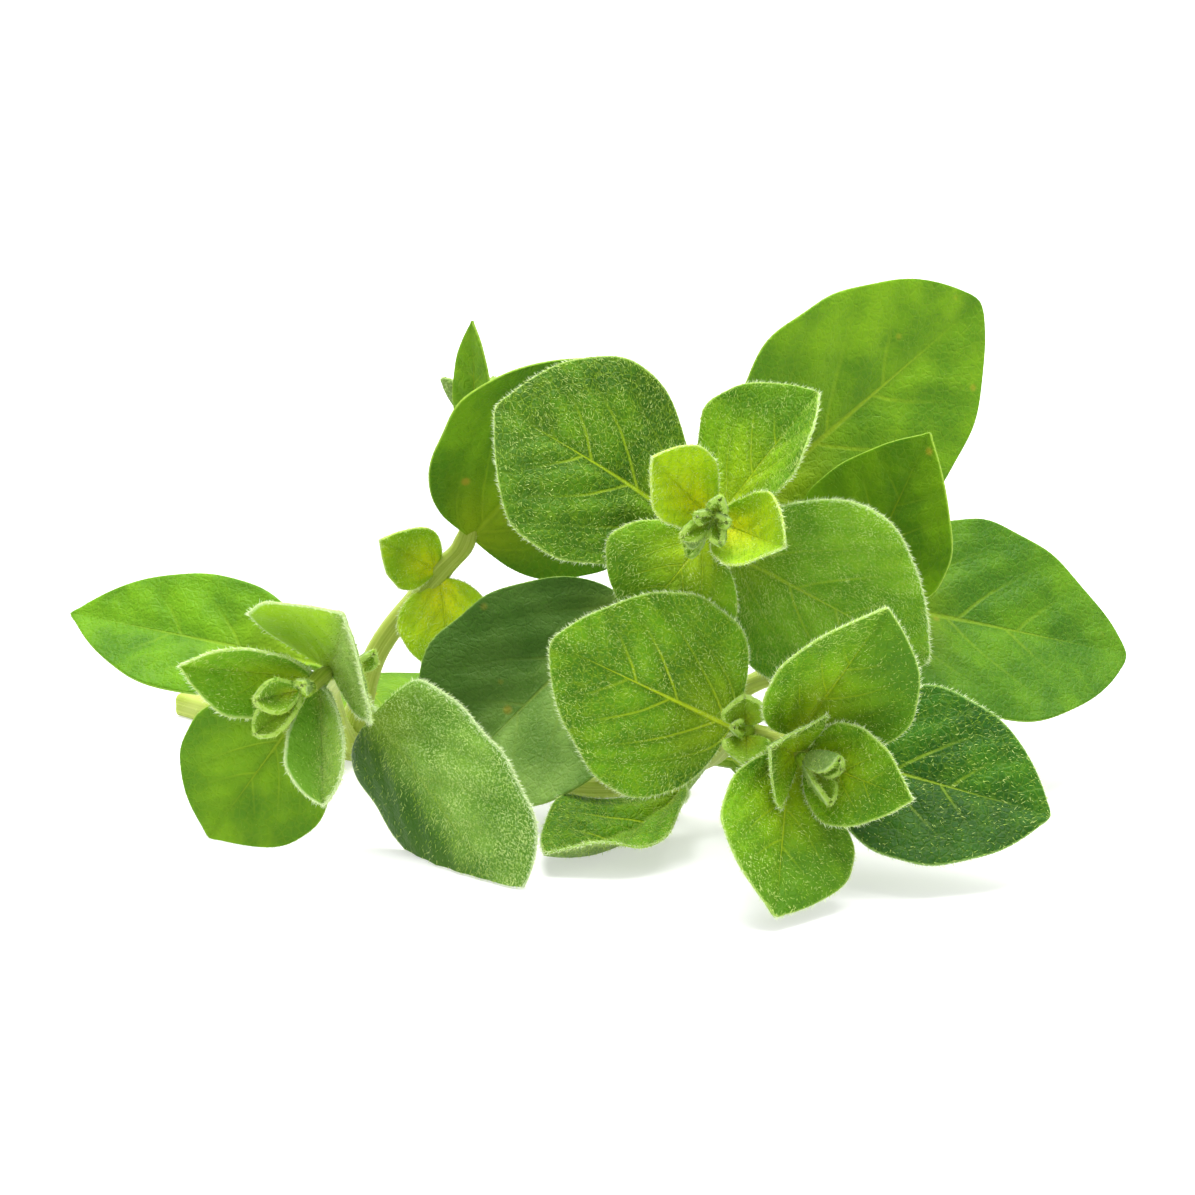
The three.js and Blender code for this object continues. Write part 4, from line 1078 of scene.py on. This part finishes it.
def leaf_piece(name, patches, tone_name):
    """One mesh of one or more leaves and what comes with them. A patch is its vertices, its faces, the
    side of each face and the data of each vertex."""
    start = 0
    points, faces, sides, data = [], [], [], {}
    for vertices, its_faces, its_sides, its_data in patches:
        points.append(vertices)
        faces += (np.asarray(its_faces) + start).tolist()
        sides.append(its_sides)
        for key, values in its_data.items():
            data.setdefault(key, []).append(values)
        start += len(vertices)
    sides = np.concatenate(sides)
    materials = [UPPER[tone_name], UNDER]
    piece = mesh_object(f"{name}_blade", np.vstack(points), faces, (sides == UNDER_SIDE) * 1, materials)
    outward_faces(piece)
    mesh = piece.data
    blade = np.vstack(data["blade"])
    set_uv(mesh, "blade", blade)
    share = np.vstack(data["share"])
    set_uv(mesh, "share", share)
    set_attribute(mesh, "lean", np.vstack(data["lean"]), "FLOAT_VECTOR")
    # Its two sides have more hairs near the margin, and fewer on the barer half, which some leaves also
    # darken with painted shade.
    hairs = TONES[tone_name]["hairs"]
    rim = MARGIN_HAIRS * (FEWER_AT_MARGIN if tone_name in SPARSE else 1)
    coat = np.array([hairs, UNDER_HAIRS * hairs, rim, hairs])[sides]
    two_sides = np.isin(sides, (UPPER_SIDE, UNDER_SIDE))
    from_margin = np.array([share[face, 1].mean() for face in faces])
    coat *= 1 + CLOSER_HAIRS * two_sides * np.exp(-((from_margin / CLOSER_REACH) ** 2))
    bare = TONES[tone_name].get("bare", 0)
    if bare:
        to_side = (blade[:, 1] - 0.5) * TONES[tone_name].get("bare_side", -1)
        place = np.array([to_side[face].mean() for face in faces])
        coat *= 1 - bare * two_sides * np.clip((place - BARE_AND_SHADE_FROM) / (BARE_AND_SHADE_TO - BARE_AND_SHADE_FROM), 0, 1)
    set_attribute(mesh, "coat", coat, "FLOAT", "FACE")
    return piece


def foot_of(on):
    """The place of a node, from its stem's name and its own."""
    stem, node = on.split(".")
    return np.array(STEMS[stem]["nodes"][node], dtype=float)


def bud_patches(bud, seed):
    """The core of a bud and its young leaves, their faces inwards, as the CAD source puts them."""
    course, slope = (math.radians(v) for v in bud["facing"])
    flat = math.cos(slope)
    axis = np.array([math.cos(course) * flat, math.sin(course) * flat, math.sin(slope)])
    level = np.array([-math.sin(course), math.cos(course), 0.0])
    upright = np.cross(axis, level)
    core = bud["core"]
    centre = foot_of(bud["on"]) + axis * (core + SEAT_GAP + bud.get("beside", 0))
    patches = []
    for k, leaf in enumerate(bud["leaves"]):
        turn, open_ = math.radians(leaf["turn"]), math.radians(leaf["open"])
        out = level * math.cos(turn) + upright * math.sin(turn)
        along = axis * math.cos(open_) + out * math.sin(open_)
        up = axis * math.sin(open_) - out * math.cos(open_)
        shape = {**BUD_LEAF, "seed": seed + k, **leaf}
        patches.append(leaf_patch(shape, centre, np.array([along, np.cross(up, along), up]), BUD_STEP))
    work = bmesh.new()
    bmesh.ops.create_icosphere(work, subdivisions=CORE_FINENESS, radius=core)
    ball = np.array([v.co for v in work.verts])
    faces = np.array([[v.index for v in f.verts] for f in work.faces])
    work.free()
    # The core reaches back to its stem, so that the bud doesn't float before it.
    back = foot_of(bud["on"]) - centre
    drawn = ball + back * (CORE_REACH * np.clip(ball @ unit(back) / core, 0, 1) ** 2)[:, None]
    data = {key: np.tile(place, (len(ball), 1)) for key, place in {**CORE_PLACE, "lean": axis}.items()}
    patches.append((centre + drawn, faces, np.full(len(faces), CORE), data))
    return patches


def settle(piece, node):
    """Places a piece on the plant and hides the imported part that it stands for."""
    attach(piece, "root")
    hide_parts(node)


UPPER = {key: leaf_finish(f"Leaf {key}", **values) for key, values in TONES.items()}
UNDER = leaf_finish("Leaf underside", under=True, **UNDERSIDE)
STEM = stem_finish()
CUT = cut_finish()
HAIRS = {name: hair_finish(name, *colours) for name, colours in HAIR_COLOURS.items()}
TREE = coat_tree()

for number, (name, stem) in enumerate(STEMS.items()):
    piece = stem_piece(name, stem)
    hairs = hair_piece(piece, seed=STEM_HAIR_SEED + number, **STEM_HAIR)
    for made in (piece, hairs):
        settle(made, f"{name}_stem")

for number, (name, leaf) in enumerate(LEAVES.items()):
    tone_name = TONE_OF.get(name, "smooth")
    shape = {**leaf, "seed": LEAF_SEED_STEP * number}
    rows = leaf_frame(leaf["heading"], leaf["rise"], leaf["roll"])
    piece = leaf_piece(name, [leaf_patch(shape, foot_of(leaf["on"]), rows)], tone_name)
    hairs = hair_piece(piece, seed=number, **(LEAF_HAIR if tone_name in SPARSE else NEAR_HAIR))
    for made in (piece, hairs):
        settle(made, name)

for number, (name, bud) in enumerate(BUDS.items()):
    patches = bud_patches(bud, BUD_LEAF_SEED + BUD_LEAF_SEED_STEP * number)
    piece = leaf_piece(name, patches, "bud")
    hairs = hair_piece(piece, seed=BUD_HAIR_SEED + number, **BUD_HAIR)
    for made in (piece, hairs):
        settle(made, name)

# The pale floor, the lights and the camera.
PAPER = dict(Base_Color=linear("#cfcfcf"), Roughness=0.9, Specular_IOR_Level=0.1)
paper, _ = new_material("Matt white floor", Emission_Color=WHITE, Emission_Strength=FLOOR_GLOW, **PAPER)
bpy.ops.mesh.primitive_plane_add(size=FLOOR_SIZE, location=(0, 0, 0))
floor = bpy.context.object
floor.name = "floor"
floor.data.materials.append(paper)

world = bpy.data.worlds.new("Studio")
world.use_nodes = True
world.node_tree.nodes["Background"].inputs["Color"].default_value = WHITE
world.node_tree.nodes["Background"].inputs["Strength"].default_value = SKY_STRENGTH
scene = bpy.context.scene
scene.world = world
scene.view_settings.view_transform = "Standard"
scene.view_settings.look = "None"


def soft_light(name, spot, aim, size, power):
    """A round lamp as large as its size, in metres."""
    data = bpy.data.lights.new(name, "AREA")
    data.shape = "DISK"
    data.size = size
    data.energy = power
    lamp = bpy.data.objects.new(name, data)
    lamp.location = spot
    lamp.rotation_euler = (Vector(aim) - Vector(spot)).to_track_quat("-Z", "Y").to_euler()
    scene.collection.objects.link(lamp)


for light in LIGHTS:
    soft_light(**light)

camera_data = bpy.data.cameras.new("Camera")
camera_data.sensor_width = 36
camera_data.lens = LENS
camera_data.clip_start = 0.01
camera_data.clip_end = 20
camera = bpy.data.objects.new("Camera", camera_data)
camera.location = (np.array(CAMERA_SPOT) - MIDDLE) * MM
camera.rotation_euler = (math.radians(90 - CAMERA_TILT), 0, 0)
scene.collection.objects.link(camera)
scene.camera = camera
